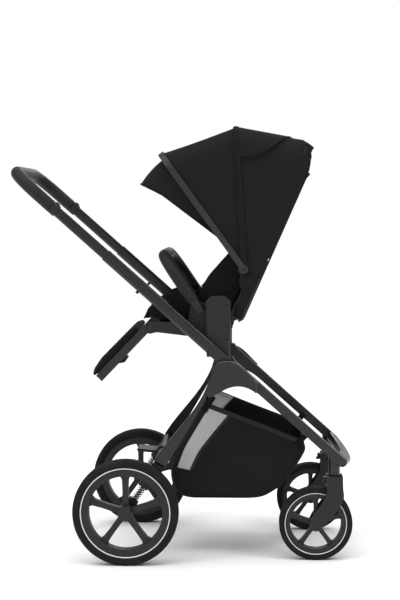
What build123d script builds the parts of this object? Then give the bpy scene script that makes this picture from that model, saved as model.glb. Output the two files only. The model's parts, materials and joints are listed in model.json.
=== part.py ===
"""Parent-facing baby stroller: an A-shaped folding chassis on four wheels, with a reversible seat unit.

Frame: +X is the driving direction, +Y the stroller's left, +Z up. The origin lies on the floor, midway
between the rearmost point of the handlebar and the nose of the front bow. The right side is at -Y.
The three moving layers of each side lie side by side, so that the frame folds flat: front leg inside,
handle tube in the middle, rear leg outside.
"""

import os
from math import acos, atan2, cos, degrees, hypot, pi, radians, sin

from build123d import *

os.makedirs("parts", exist_ok=True)

# ---------------------------------------------------------------- driving dimensions (mm and degrees)
REAR_WHEEL_R = 140.0
REAR_TYRE_WIDTH = 44.0
REAR_TRACK = 537.0  # between the middles of the rear tyres
FRONT_WHEEL_R = 98.0
FRONT_TYRE_WIDTH = 40.0
FRONT_TRACK = 374.0
WHEELBASE = 503.0
CASTOR_TRAIL = 49.0
TYRE_DEPTH_SHARE = 0.165  # radial depth of the tyre, as a share of the wheel's radius

FRAME_SLOPE = 41.7  # of the handle tube and front leg, below the horizontal
REAR_LEG_ANGLE = 238.4
PIVOT_RISE = 524.0  # height of the fold pivot
PIVOT_AHEAD = 258.0  # distance of the fold pivot ahead of the rear axle

HANDLE_TUBE_REACH = 424.0  # from the pivot to the top end of the outer tube
HANDLE_REACH = 756.0  # from the pivot to the middle of the crossbar, handle drawn out
HANDLE_TRAVEL = 120.0
TUBE_HEIGHT = 31.0
TUBE_DEPTH = 18.0
TUBE_WALL = 1.6
GRIP_R = 17.0
FRONT_LEG_HEIGHT = 24.0
REAR_LEG_HEIGHT = 34.0
REAR_LEG_REACH = 313.0

BACK_ANGLE = 66.2  # of the backrest, above the horizontal
BACK_LENGTH = 512.0
CANOPY_R = 380.0
SEAT_HALF_WIDTH = 150.0

RUNNING_GAP = 0.1  # radial, pin in hole
SLIDING_GAP = 0.35
SOFT_GAP = 0.4
LAYER_GAP = 2.0  # between two layers of the side frame that turn on each other

# ---------------------------------------------------------------- layers of one side, as distances from the middle
FRONT_LEG_IN = 180.0
FRONT_LEG_OUT = 206.0
TUBE_IN = FRONT_LEG_OUT + LAYER_GAP
TUBE_OUT = TUBE_IN + TUBE_DEPTH
REAR_LEG_IN = TUBE_OUT + LAYER_GAP
REAR_LEG_OUT = REAR_LEG_IN + 16.0
TUBE_MID = (TUBE_IN + TUBE_OUT) / 2
REAR_LEG_MID = (REAR_LEG_IN + REAR_LEG_OUT) / 2
RAIL_IN = SEAT_HALF_WIDTH
RAIL_OUT = RAIL_IN + 20.0
ADAPTER_IN = RAIL_OUT
ADAPTER_OUT = FRONT_LEG_OUT - 2.0
BEAM_IN = RAIL_IN - 2.0
BEAM_OUT = RAIL_OUT - 0.5

# ---------------------------------------------------------------- places worked out from the driving dimensions
TUBE_OFFSET = 9.5  # of the tube's centre line above the pivot, across the slope
HANDLE_TIP_BACK = HANDLE_REACH * cos(radians(FRAME_SLOPE)) - TUBE_OFFSET * sin(radians(FRAME_SLOPE)) + GRIP_R
BOW_REACH = 446.0  # from the pivot to the nose of the front bow, along the slope
BOW_TOP = 27.0  # upper face of the bow, above the pivot's line
BOW_ROUND = 7.0
nose_ahead = (BOW_REACH - BOW_ROUND) * cos(radians(FRAME_SLOPE)) + (BOW_TOP - BOW_ROUND) * sin(radians(FRAME_SLOPE))
REAR_AXLE_X = -(nose_ahead + BOW_ROUND + 2 * PIVOT_AHEAD - HANDLE_TIP_BACK) / 2
REAR_AXLE_Z = REAR_WHEEL_R
PIVOT_X = REAR_AXLE_X + PIVOT_AHEAD
PIVOT_Z = PIVOT_RISE
FRONT_AXLE_X = REAR_AXLE_X + WHEELBASE
CASTOR_X = FRONT_AXLE_X + CASTOR_TRAIL
CASTOR_Y = FRONT_TRACK / 2
SEAT_X = PIVOT_X - 6.0  # recline pivot
SEAT_Z = PIVOT_Z + 116.0
HOOD_X = SEAT_X + 58.0  # canopy pivot
HOOD_Z = SEAT_Z + 136.0
FOOT_HINGE_X = SEAT_X - 193.0
FOOT_HINGE_Z = SEAT_Z - 21.0


def side_plane(x, z, angle=0.0, out=0.0):
    """A plane on the right side that faces outward (-Y), its x-axis raised by angle from +X."""
    a = radians(angle)
    return Plane(origin=(x, -out, z), x_dir=(cos(a), 0, sin(a)), z_dir=(0, -1, 0))


def save(piece, name):
    piece.label = name
    export_step(piece, f"parts/{name}.step")


def save_pair(piece, stem):
    """The right-hand piece and its mirror image, each as its own node."""
    save(piece, stem + "_right")
    save(mirror(piece, about=Plane.XZ), stem + "_left")


def save_both(piece, name):
    """The right-hand piece and its mirror image, together in one node."""
    save(Compound(children=[*piece.solids(), *mirror(piece, about=Plane.XZ).solids()]), name)


def along(x, z, angle, reach, rise=0.0):
    """The point reach out from (x, z) at angle and rise across it, as (x, z)."""
    a = radians(angle)
    return x + reach * cos(a) - rise * sin(a), z + reach * sin(a) + rise * cos(a)


# ================================================================ wheels
SPOKES = 5


def make_tyre(radius, width, middle):
    """A foam tyre: a round-shouldered ring with slots moulded into its inner sidewall."""
    depth = radius * TYRE_DEPTH_SHARE
    slots = 45
    with BuildPart() as tyre:
        with BuildSketch(Plane.XY) as section:
            with Locations((radius - depth / 2, 0)):
                RectangleRounded(depth, width, depth * 0.42)
        revolve(axis=Axis.Y)
        with BuildSketch(Plane.XZ.offset(-width / 2)):
            with PolarLocations(radius - depth * 0.62, slots):
                Rectangle(depth * 0.4, pi * radius / slots * 0.7)
        extrude(amount=2.5, mode=Mode.SUBTRACT)
    return tyre.part.moved(Location((middle[0], -middle[1], middle[2])))


def make_rim(radius, width, middle, axle_r, hub_r):
    """A moulded rim with five tapered spokes, a rim bed for the tyre and a hub with a plain bore."""
    bed = radius * (1 - TYRE_DEPTH_SHARE)
    inner = bed - radius * 0.14
    mid = (inner + hub_r) / 2
    with BuildPart() as rim:
        with BuildSketch(Plane.XZ.offset(-width * 0.36)):
            Circle(bed)
            Circle(inner, mode=Mode.SUBTRACT)
        extrude(amount=width * 0.72)
        with BuildSketch(Plane.XZ.offset(-width * 0.2)):
            with PolarLocations(0, SPOKES, start_angle=90):
                Polygon(
                    (hub_r * 0.3, -radius * 0.06), (mid, -radius * 0.055), (inner * 0.9, -radius * 0.065),
                    (inner + 2, -radius * 0.11), (inner + 2, radius * 0.11), (inner * 0.9, radius * 0.065),
                    (mid, radius * 0.055), (hub_r * 0.3, radius * 0.06), align=None,
                )
        extrude(amount=width * 0.4)
        with BuildSketch(Plane.XZ.offset(-width / 2)):
            Circle(hub_r)
        extrude(amount=width)
        with BuildSketch(Plane.XZ.offset(-width)):
            Circle(axle_r + RUNNING_GAP)
        extrude(amount=2 * width, mode=Mode.SUBTRACT)
    return rim.part.moved(Location((middle[0], -middle[1], middle[2])))


def make_hub_cap(radius, out, x, z):
    """A pressed cap that closes the outer end of the hub."""
    with BuildPart() as cap:
        with BuildSketch(side_plane(x, z, out=out)):
            Circle(radius)
        extrude(amount=4.0)
        fillet(cap.faces().sort_by(Axis.Y)[0].edges(), 2.0)
    return cap.part


REAR_AXLE_R = 6.0
REAR_HUB_R = 20.0
FRONT_AXLE_R = 4.0
FRONT_HUB_R = 15.0
rear_middle = (REAR_AXLE_X, REAR_TRACK / 2, REAR_AXLE_Z)
front_middle = (FRONT_AXLE_X, CASTOR_Y, FRONT_WHEEL_R)
REAR_WHEEL_IN = REAR_TRACK / 2 - REAR_TYRE_WIDTH / 2
REAR_WHEEL_OUT = REAR_TRACK / 2 + REAR_TYRE_WIDTH / 2
AXLE_END = REAR_WHEEL_OUT - 1.0
save_pair(make_tyre(REAR_WHEEL_R, REAR_TYRE_WIDTH, rear_middle), "rear_tyre")
save_pair(make_rim(REAR_WHEEL_R, REAR_TYRE_WIDTH, rear_middle, REAR_AXLE_R, REAR_HUB_R), "rear_rim")
save_pair(make_hub_cap(REAR_HUB_R - 1.0, REAR_WHEEL_OUT, REAR_AXLE_X, REAR_AXLE_Z), "rear_hub_cap")
save_pair(make_tyre(FRONT_WHEEL_R, FRONT_TYRE_WIDTH, front_middle), "front_tyre")
save_pair(make_rim(FRONT_WHEEL_R, FRONT_TYRE_WIDTH, front_middle, FRONT_AXLE_R, FRONT_HUB_R), "front_rim")

# ================================================================ chassis: front legs, bow, seat receivers
FRONT_ANGLE = -FRAME_SLOPE
LEG_OFFSET = 14.5  # of the front leg's centre line above the pivot, across the slope
LEG_LOW = LEG_OFFSET - FRONT_LEG_HEIGHT / 2
LEG_HIGH = LEG_OFFSET + FRONT_LEG_HEIGHT / 2
HUB_R = 30.0
PIN_R = 8.0
HUB_SKIN = 3.0  # thickness of the hub shell outside the end of the fold pin
CASTOR_BOSS_R = 15.5
CASTOR_BOSS_LOW = 227.5
STEM_R = 6.0
RECEIVER_SEAT_Z = PIVOT_Z + 21.0
RECEIVER_HALF = 31.0
leg_reach = (CASTOR_X - PIVOT_X) / cos(radians(FRAME_SLOPE)) + 14.0
boss_top = along(PIVOT_X, PIVOT_Z, FRONT_ANGLE, leg_reach - 24.0, LEG_OFFSET)[1]

with BuildPart() as side_frame:
    with BuildSketch(side_plane(PIVOT_X, PIVOT_Z, FRONT_ANGLE, FRONT_LEG_IN)):
        Circle(HUB_R)
        with BuildLine():
            Polyline((0, LEG_HIGH), (leg_reach, LEG_HIGH), (leg_reach, LEG_LOW), (128, LEG_LOW))
            Spline((128, LEG_LOW), (66, -12), (30, -64), tangents=((-1, 0), (-0.2, -1)))
            Polyline((30, -64), (2, -58), (-24, -20), (0, LEG_HIGH))
        make_face()
        with Locations((leg_reach, LEG_OFFSET)):
            Circle(FRONT_LEG_HEIGHT / 2)
    extrude(amount=FRONT_LEG_OUT - FRONT_LEG_IN)
    with BuildSketch(Plane.XY.offset(CASTOR_BOSS_LOW)):
        with Locations((CASTOR_X, -CASTOR_Y)):
            Circle(CASTOR_BOSS_R)
    extrude(amount=boss_top - CASTOR_BOSS_LOW)
    with BuildSketch(Plane.XY.offset(CASTOR_BOSS_LOW - 1)):
        with Locations((CASTOR_X, -CASTOR_Y)):
            Circle(STEM_R + RUNNING_GAP)
    extrude(amount=27.0, mode=Mode.SUBTRACT)
    with BuildSketch(side_plane(PIVOT_X, PIVOT_Z, out=FRONT_LEG_IN - 1)):
        Circle(PIN_R + RUNNING_GAP)
    extrude(amount=60.0, mode=Mode.SUBTRACT)
    with BuildSketch(Plane.XY.offset(RECEIVER_SEAT_Z)):
        with Locations((SEAT_X - 6.0, -FRONT_LEG_IN)):
            Rectangle(2 * RECEIVER_HALF + 30, 80)
    extrude(amount=40.0, mode=Mode.SUBTRACT)
save_both(side_frame.part, "side_frames")

with BuildPart() as front_bow:
    slope = radians(FRAME_SLOPE)
    bow_plane = Plane(
        origin=(PIVOT_X, 0, PIVOT_Z), x_dir=(cos(slope), 0, -sin(slope)), z_dir=(sin(slope), 0, cos(slope))
    )
    with BuildSketch(bow_plane.offset(LEG_LOW)):
        with BuildLine():
            ThreePointArc((BOW_REACH - 34, -FRONT_LEG_OUT), (BOW_REACH, 0), (BOW_REACH - 34, FRONT_LEG_OUT))
            Line((BOW_REACH - 34, FRONT_LEG_OUT), (BOW_REACH - 74, FRONT_LEG_OUT))
            ThreePointArc((BOW_REACH - 74, FRONT_LEG_OUT), (BOW_REACH - 40, 0), (BOW_REACH - 74, -FRONT_LEG_OUT))
            Line((BOW_REACH - 74, -FRONT_LEG_OUT), (BOW_REACH - 34, -FRONT_LEG_OUT))
        make_face()
    extrude(amount=BOW_TOP - LEG_LOW)
    fillet(front_bow.edges().filter_by(GeomType.CIRCLE), BOW_ROUND)
    # the legs run past the ends of the bow
    for inner in (FRONT_LEG_IN, -FRONT_LEG_OUT - 2):
        with BuildSketch(side_plane(PIVOT_X, PIVOT_Z, FRONT_ANGLE, inner)):
            with Locations((leg_reach - 60, LEG_OFFSET)):
                Rectangle(200, FRONT_LEG_HEIGHT + 2 * 30)
        extrude(amount=FRONT_LEG_OUT - FRONT_LEG_IN + 2, mode=Mode.SUBTRACT)
    with BuildSketch(Plane.XY.offset(CASTOR_BOSS_LOW - 20)):
        with Locations((CASTOR_X, -CASTOR_Y), (CASTOR_X, CASTOR_Y)):
            Circle(CASTOR_BOSS_R)
    extrude(amount=100.0, mode=Mode.SUBTRACT)
save(front_bow.part, "front_bow")

TONGUE_HEIGHT = 50.0
RECEIVER_TOP = SEAT_Z - 50.0
with BuildPart() as receiver:
    with BuildSketch(Plane.XY.offset(RECEIVER_SEAT_Z)):
        with Locations((SEAT_X - 10.0, -(FRONT_LEG_IN + FRONT_LEG_OUT) / 2)):
            RectangleRounded(2 * RECEIVER_HALF, FRONT_LEG_OUT - FRONT_LEG_IN, 6.0)
    extrude(amount=RECEIVER_TOP - RECEIVER_SEAT_Z)
    with BuildSketch(Plane.XY.offset(RECEIVER_TOP)):
        with Locations((SEAT_X - 10.0, -(FRONT_LEG_IN + FRONT_LEG_OUT) / 2)):
            RectangleRounded(28.0, 13.0, 4.0)
    extrude(amount=TONGUE_HEIGHT)
save_both(receiver.part, "seat_receivers")

with BuildPart() as fold_pin:
    with BuildSketch(side_plane(PIVOT_X, PIVOT_Z, out=FRONT_LEG_IN)):
        Circle(PIN_R)
    extrude(amount=REAR_LEG_OUT - HUB_SKIN - 0.4 - FRONT_LEG_IN)
save_both(fold_pin.part, "fold_pins")

# ================================================================ rear frame: legs, cross tube, strut housings
LEG_ACROSS = -7.5  # of the rear leg's centre line from the pivot, across the leg
STRUT_Y = REAR_LEG_MID
strut_angle = degrees(atan2(
    along(PIVOT_X, PIVOT_Z, REAR_LEG_ANGLE, REAR_LEG_REACH, LEG_ACROSS)[1] - REAR_AXLE_Z,
    along(PIVOT_X, PIVOT_Z, REAR_LEG_ANGLE, REAR_LEG_REACH, LEG_ACROSS)[0] - REAR_AXLE_X,
))
leg_end = along(PIVOT_X, PIVOT_Z, REAR_LEG_ANGLE, REAR_LEG_REACH, LEG_ACROSS)
leg_to_axle = hypot(leg_end[0] - REAR_AXLE_X, leg_end[1] - REAR_AXLE_Z)
CARRIER_REACH = 34.0  # top of the axle carrier, from the axle
SPRING_FREE = 40.0
ROD_R = 5.0
HOUSING_HALF = 17.0
CROSS_TUBE_R = 11.0
housing_low = CARRIER_REACH + SPRING_FREE
CROSS_X, CROSS_Z = leg_end[0] - 4.0, leg_end[1] + 2.0

SHELL_REACH = 104.0  # of the hub shell along the front leg
EDGE_ROUND = 5.0
with BuildPart() as rear_leg:
    with BuildSketch(side_plane(PIVOT_X, PIVOT_Z, out=REAR_LEG_IN)):
        with BuildLine():
            leg_left = along(0, 0, REAR_LEG_ANGLE, REAR_LEG_REACH, LEG_ACROSS - REAR_LEG_HEIGHT / 2)
            leg_right = along(0, 0, REAR_LEG_ANGLE, REAR_LEG_REACH, LEG_ACROSS + REAR_LEG_HEIGHT / 2)
            arm_low = along(0, 0, FRONT_ANGLE, SHELL_REACH + 8, LEG_LOW)
            arm_high = along(0, 0, FRONT_ANGLE, SHELL_REACH - 8, LEG_HIGH + 0.5)
            leg_down = (cos(radians(REAR_LEG_ANGLE)), sin(radians(REAR_LEG_ANGLE)))
            arm_down = (cos(radians(FRONT_ANGLE)), sin(radians(FRONT_ANGLE)))
            shoulder = (-38, -34)
            Line(leg_right, leg_left)
            Spline(leg_left, shoulder, (-17, 8), (12, 14), arm_high, tangents=((-leg_down[0], -leg_down[1]), arm_down))
            Line(arm_high, arm_low)
            Spline(arm_low, (44, -54), (8, -60), (-24, -78), leg_right, tangents=((-arm_down[0], -arm_down[1]), leg_down))
        make_face()
    extrude(amount=REAR_LEG_OUT - REAR_LEG_IN)
    chamfer(rear_leg.faces().sort_by(Axis.Y)[0].edges(), EDGE_ROUND * 0.6)
    with BuildSketch(side_plane(PIVOT_X, PIVOT_Z, out=REAR_LEG_IN - 1)):
        Circle(PIN_R + RUNNING_GAP)
    extrude(amount=REAR_LEG_OUT - REAR_LEG_IN - HUB_SKIN + 1, mode=Mode.SUBTRACT)
save_both(rear_leg.part, "rear_legs")

with BuildPart() as strut_housing:
    with BuildSketch(side_plane(REAR_AXLE_X, REAR_AXLE_Z, strut_angle, REAR_LEG_IN - 4.0)):
        with BuildLine():
            top = leg_to_axle - 1.0
            Polyline(
                (housing_low, -HOUSING_HALF + 3), (top - 8, -HOUSING_HALF), (top, -HOUSING_HALF + 4),
                (top - 1, HOUSING_HALF - 4), (top - 8, HOUSING_HALF), (housing_low, HOUSING_HALF - 3), close=True,
            )
        make_face()
    extrude(amount=REAR_LEG_OUT - REAR_LEG_IN + 4.0)
    with BuildSketch(side_plane(PIVOT_X, PIVOT_Z, REAR_LEG_ANGLE, REAR_LEG_IN - 6.0)):
        with Locations((REAR_LEG_REACH / 2, LEG_ACROSS)):
            Rectangle(REAR_LEG_REACH, REAR_LEG_HEIGHT + 30)
    extrude(amount=40.0, mode=Mode.SUBTRACT)
    strut_up = radians(strut_angle)
    strut_plane = Plane(
        origin=(REAR_AXLE_X, -STRUT_Y, REAR_AXLE_Z), x_dir=(0, 1, 0), z_dir=(cos(strut_up), 0, sin(strut_up))
    )
    with BuildSketch(strut_plane.offset(housing_low - 1.0)):
        Circle(ROD_R + SLIDING_GAP)
    extrude(amount=32.0, mode=Mode.SUBTRACT)
    with BuildSketch(side_plane(CROSS_X, CROSS_Z, out=REAR_LEG_IN - 30.0)):
        Circle(CROSS_TUBE_R)
    extrude(amount=30.0, mode=Mode.SUBTRACT)
save_both(strut_housing.part, "strut_housings")

with BuildPart() as cross_tube:
    with BuildSketch(side_plane(CROSS_X, CROSS_Z, out=-REAR_LEG_IN)):
        Circle(CROSS_TUBE_R)
    extrude(amount=2 * REAR_LEG_IN)
save(cross_tube.part, "rear_cross_tube")

PEDAL_HALF = 38.0
PEDAL_LENGTH = 70.0
with BuildPart() as pedal:
    with BuildSketch(side_plane(CROSS_X, CROSS_Z, out=-PEDAL_HALF)):
        Circle(CROSS_TUBE_R + 4.5)
        with BuildLine():
            Polyline(
                (0, 6), (-24, 3), (-PEDAL_LENGTH, 8), (-PEDAL_LENGTH - 2, 3), (-PEDAL_LENGTH + 4, 0),
                (-26, -4), (0, -10), close=True,
            )
        make_face()
        Circle(CROSS_TUBE_R + RUNNING_GAP, mode=Mode.SUBTRACT)
    extrude(amount=2 * PEDAL_HALF)
save(pedal.part, "brake_pedal")

# ================================================================ suspension struts
with BuildPart() as carrier:
    carrier_in = REAR_LEG_IN - 4.0
    carrier_depth = REAR_WHEEL_IN - 1.0 - carrier_in
    with BuildSketch(side_plane(REAR_AXLE_X, REAR_AXLE_Z, strut_angle, carrier_in)):
        Circle(18.0)
        with Locations((CARRIER_REACH / 2, 0)):
            Rectangle(CARRIER_REACH, 28.0)
    extrude(amount=carrier_depth)
    with BuildSketch(strut_plane.offset(CARRIER_REACH - 2)):
        Circle(ROD_R)
    extrude(amount=SPRING_FREE + 2 + 16.0)
    with BuildSketch(side_plane(REAR_AXLE_X, REAR_AXLE_Z, out=carrier_in)):
        Circle(REAR_AXLE_R)
    extrude(amount=AXLE_END - carrier_in)
save_pair(carrier.part, "axle_carrier")

SPRING_R = 9.5
SPRING_WIRE_R = 1.5
SPRING_TURNS = 5
with BuildPart() as spring:
    spring_plane = strut_plane.offset(CARRIER_REACH + SPRING_WIRE_R + 0.2)
    coil_height = SPRING_FREE - 2 * SPRING_WIRE_R - 0.4
    with BuildLine() as coil:
        Helix(
            pitch=coil_height / SPRING_TURNS, height=coil_height, radius=SPRING_R,
            center=spring_plane.origin, direction=spring_plane.z_dir,
        )
    with BuildSketch(Plane(origin=coil.line @ 0, z_dir=coil.line % 0)):
        Circle(SPRING_WIRE_R)
    sweep(path=coil.line, is_frenet=True)
save_pair(spring.part, "strut_spring")

# ================================================================ castors
CROWN_TOP = CASTOR_BOSS_LOW - 0.7
LOCK_PIN_R = 2.2
LOCK_X, LOCK_Z = CASTOR_X - 14.5, CROWN_TOP - 8.0
FORK_HALF = 29.0
ARM_DEPTH = 6.0
with BuildPart() as fork:
    with BuildSketch(side_plane(CASTOR_X, CROWN_TOP, out=CASTOR_Y - FORK_HALF)):
        with BuildLine():
            hub_down = CROWN_TOP - FRONT_WHEEL_R
            hub = (-CASTOR_TRAIL, -hub_down)
            Polyline((-21, 0), (22, 0), (23, -34), (24, -56))
            Spline((24, -56), (12, -84), (hub[0] + 15, hub[1] - 9), tangents=((-0.1, -1), (-0.75, -0.66)))
            ThreePointArc((hub[0] + 15, hub[1] - 9), (hub[0] - 3, hub[1] - 17), (hub[0] - 17, hub[1] + 3))
            Spline((hub[0] - 17, hub[1] + 3), (-28, -62), (-21, -34), tangents=((0.3, 0.95), (0.05, 1)))
            Line((-21, -34), (-21, 0))
        make_face()
    extrude(amount=2 * FORK_HALF)
    with BuildSketch(side_plane(FRONT_AXLE_X, FRONT_WHEEL_R, out=CASTOR_Y - FORK_HALF + ARM_DEPTH)):
        Circle(FRONT_WHEEL_R + 5.0)
    extrude(amount=2 * (FORK_HALF - ARM_DEPTH), mode=Mode.SUBTRACT)
    with BuildSketch(Plane.XY.offset(CROWN_TOP - 10)):
        with Locations((CASTOR_X, -CASTOR_Y)):
            Circle(STEM_R)
    extrude(amount=10 + 0.7 + 23.0)
    with BuildSketch(side_plane(FRONT_AXLE_X, FRONT_WHEEL_R, out=CASTOR_Y - FORK_HALF)):
        Circle(FRONT_AXLE_R)
    extrude(amount=2 * FORK_HALF)
    with BuildSketch(side_plane(LOCK_X, LOCK_Z, out=CASTOR_Y - 12.0)):
        with Locations((-3, 3)):
            Rectangle(20.0, 34.0)
    extrude(amount=24.0, mode=Mode.SUBTRACT)
    with BuildSketch(side_plane(LOCK_X, LOCK_Z, out=CASTOR_Y - 16.0)):
        Circle(LOCK_PIN_R + RUNNING_GAP)
    extrude(amount=32.0, mode=Mode.SUBTRACT)
save_pair(fork.part, "castor_fork")

with BuildPart() as swivel_lock:
    with BuildSketch(side_plane(LOCK_X, LOCK_Z, out=CASTOR_Y - 15.0)):
        Circle(LOCK_PIN_R)
    extrude(amount=30.0)
    with BuildSketch(side_plane(LOCK_X, LOCK_Z, out=CASTOR_Y - 11.0)):
        Circle(4.5)
        with BuildLine():
            Polyline((-3, 4), (3, 3), (2, -4), (-12, -12), (-19, -10), (-13, -3), (-16, 3), (-10, 5), close=True)
        make_face()
    extrude(amount=22.0)
save_pair(swivel_lock.part, "swivel_lock")

# ================================================================ handle tubes and handlebar
HANDLE_ANGLE = 180.0 - FRAME_SLOPE
TUBE_ROUND = 8.0
slope_up = radians(HANDLE_ANGLE)
handle_dir = (cos(slope_up), 0, sin(slope_up))


def handle_section(reach):
    """A plane square to the right handle tube, reach from the pivot, on the tube's centre line."""
    x, z = along(PIVOT_X, PIVOT_Z, HANDLE_ANGLE, reach, -TUBE_OFFSET)
    return Plane(origin=(x, -TUBE_MID, z), x_dir=(0, 1, 0), z_dir=handle_dir)


LEG_HEIGHT_IN = TUBE_HEIGHT - 2 * TUBE_WALL - 2 * SLIDING_GAP
LEG_DEPTH_IN = TUBE_DEPTH - 2 * TUBE_WALL - 2 * SLIDING_GAP
INSERTED = 62.0
CAVITY_LOW = HANDLE_TUBE_REACH - INSERTED - HANDLE_TRAVEL - 8.0
COLLAR_LOW = HANDLE_REACH - 156.0
GRIP_LOW = HANDLE_REACH - 134.0

with BuildPart() as handle_tube:
    with BuildSketch(side_plane(PIVOT_X, PIVOT_Z, HANDLE_ANGLE, TUBE_IN)):
        Circle(HUB_R - 5.0)
        with Locations((30, -TUBE_OFFSET)):
            Rectangle(60, TUBE_HEIGHT)
    extrude(amount=TUBE_DEPTH)
    with BuildSketch(handle_section(40)):
        RectangleRounded(TUBE_DEPTH, TUBE_HEIGHT, TUBE_ROUND)
    extrude(amount=HANDLE_TUBE_REACH - 40)
    with BuildSketch(handle_section(CAVITY_LOW)):
        RectangleRounded(TUBE_DEPTH - 2 * TUBE_WALL, TUBE_HEIGHT - 2 * TUBE_WALL, TUBE_ROUND - TUBE_WALL)
    extrude(amount=HANDLE_TUBE_REACH - CAVITY_LOW, mode=Mode.SUBTRACT)
    with BuildSketch(side_plane(PIVOT_X, PIVOT_Z, out=TUBE_IN - 1)):
        Circle(PIN_R + RUNNING_GAP)
    extrude(amount=30.0, mode=Mode.SUBTRACT)
save_both(handle_tube.part, "handle_tubes")

STUD_R = 4.0
STUD_LENGTH = 6.0
STUD_REACH = 300.0
COLLAR_DEPTH = 14.0
with BuildPart() as tube_fittings:
    with BuildSketch(handle_section(HANDLE_TUBE_REACH)):
        RectangleRounded(TUBE_DEPTH + 0.8, TUBE_HEIGHT + 0.8, TUBE_ROUND)
        RectangleRounded(LEG_DEPTH_IN + 0.7, LEG_HEIGHT_IN + 0.7, TUBE_ROUND - TUBE_WALL - SLIDING_GAP, mode=Mode.SUBTRACT)
    extrude(amount=3.0)
    stud_x, stud_z = along(PIVOT_X, PIVOT_Z, HANDLE_ANGLE, STUD_REACH, -TUBE_OFFSET + TUBE_HEIGHT / 2)
    stud_dir = (-sin(slope_up), 0, cos(slope_up))
    with BuildSketch(Plane(origin=(stud_x, -TUBE_MID, stud_z), x_dir=(0, 1, 0), z_dir=stud_dir)):
        Circle(STUD_R)
    extrude(amount=STUD_LENGTH)
save_both(tube_fittings.part, "tube_fittings")

with BuildPart() as bar_leg:
    with BuildSketch(handle_section(HANDLE_TUBE_REACH - INSERTED)):
        RectangleRounded(LEG_DEPTH_IN, LEG_HEIGHT_IN, TUBE_ROUND - TUBE_WALL - SLIDING_GAP)
    extrude(amount=GRIP_LOW - HANDLE_TUBE_REACH + INSERTED)
save_both(bar_leg.part, "handlebar_legs")

BUTTON_R = 6.0
with BuildPart() as grip_collar:
    with BuildSketch(handle_section(COLLAR_LOW)):
        RectangleRounded(LEG_DEPTH_IN + 9, LEG_HEIGHT_IN + 6, 9.0)
        RectangleRounded(LEG_DEPTH_IN + 0.2, LEG_HEIGHT_IN + 0.2, TUBE_ROUND - TUBE_WALL - SLIDING_GAP, mode=Mode.SUBTRACT)
    extrude(amount=GRIP_LOW - COLLAR_LOW)
    # a recess in the upper face for the height button
    button_mid = (COLLAR_LOW + GRIP_LOW) / 2
    bx, bz = along(PIVOT_X, PIVOT_Z, HANDLE_ANGLE, button_mid, -TUBE_OFFSET - LEG_HEIGHT_IN / 2 - 0.1)
    button_plane = Plane(origin=(bx, -TUBE_MID, bz), x_dir=(0, 1, 0), z_dir=(sin(slope_up), 0, -cos(slope_up)))
    with BuildSketch(button_plane):
        Circle(BUTTON_R + 0.3)
    extrude(amount=20.0, mode=Mode.SUBTRACT)
save_both(grip_collar.part, "grip_collars")

BUTTON_TRAVEL = 2.5
with BuildPart() as height_button:
    with BuildSketch(button_plane.offset(BUTTON_TRAVEL + 0.3)):
        Circle(BUTTON_R)
    extrude(amount=3.0)
    fillet(height_button.faces().sort_by(Axis.Z)[-1].edges(), 0.8)
save_both(height_button.part, "height_buttons")

BAR_BEND_R = 85.0
with BuildPart() as grip:
    gx, gz = along(PIVOT_X, PIVOT_Z, HANDLE_ANGLE, 0, -TUBE_OFFSET)
    grip_plane = Plane(origin=(gx, 0, gz), x_dir=handle_dir, z_dir=(sin(slope_up), 0, -cos(slope_up)))
    with BuildLine(grip_plane) as grip_path:
        FilletPolyline(
            (GRIP_LOW, TUBE_MID), (HANDLE_REACH, TUBE_MID), (HANDLE_REACH, -TUBE_MID), (GRIP_LOW, -TUBE_MID),
            radius=BAR_BEND_R,
        )
    with BuildSketch(Plane(origin=grip_path.line @ 0, z_dir=grip_path.line % 0)):
        Circle(GRIP_R)
    sweep()
save(grip.part, "handle_grip")

# ================================================================ seat unit: adapters, rails, base, bumper sockets
ADAPTER_HALF = 33.0
ADAPTER_X = SEAT_X - 10.0
ADAPTER_LOW = RECEIVER_TOP + 0.3
ADAPTER_TOP = SEAT_Z + 40.0
LEVER_TOP = SEAT_Z + 66.0
adapter_mid = (FRONT_LEG_IN + FRONT_LEG_OUT) / 2
with BuildPart() as adapter:
    with BuildSketch(side_plane(ADAPTER_X, ADAPTER_LOW, out=ADAPTER_IN)):
        with Locations((0, (ADAPTER_TOP - ADAPTER_LOW) / 2)):
            Rectangle(2 * ADAPTER_HALF, ADAPTER_TOP - ADAPTER_LOW)
    extrude(amount=ADAPTER_OUT - ADAPTER_IN)
    fillet(adapter.edges().filter_by(Axis.Z).group_by(Axis.Y)[0], 6.0)
    with BuildSketch(Plane.XY.offset(ADAPTER_LOW - 1)):
        with Locations((ADAPTER_X, -adapter_mid)):
            RectangleRounded(28.0 + 2 * SLIDING_GAP, 13.0 + 2 * SLIDING_GAP, 4.0)
    extrude(amount=TONGUE_HEIGHT + 3.0, mode=Mode.SUBTRACT)
save_both(adapter.part, "seat_adapters")

with BuildPart() as release_lever:
    with BuildSketch(side_plane(ADAPTER_X, ADAPTER_TOP + 0.6, out=ADAPTER_IN)):
        with BuildLine():
            rise = LEVER_TOP - ADAPTER_TOP - 0.6
            Polyline((-ADAPTER_HALF, 0), (-ADAPTER_HALF, rise - 14), (-ADAPTER_HALF + 14, rise),
                     (ADAPTER_HALF - 14, rise), (ADAPTER_HALF, rise - 14), (ADAPTER_HALF, 0), close=True)
        make_face()
    extrude(amount=ADAPTER_OUT - ADAPTER_IN)
    fillet(release_lever.edges().filter_by(Axis.Y).sort_by(Axis.Z)[-4:], 8.0)
save_both(release_lever.part, "release_levers")

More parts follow.
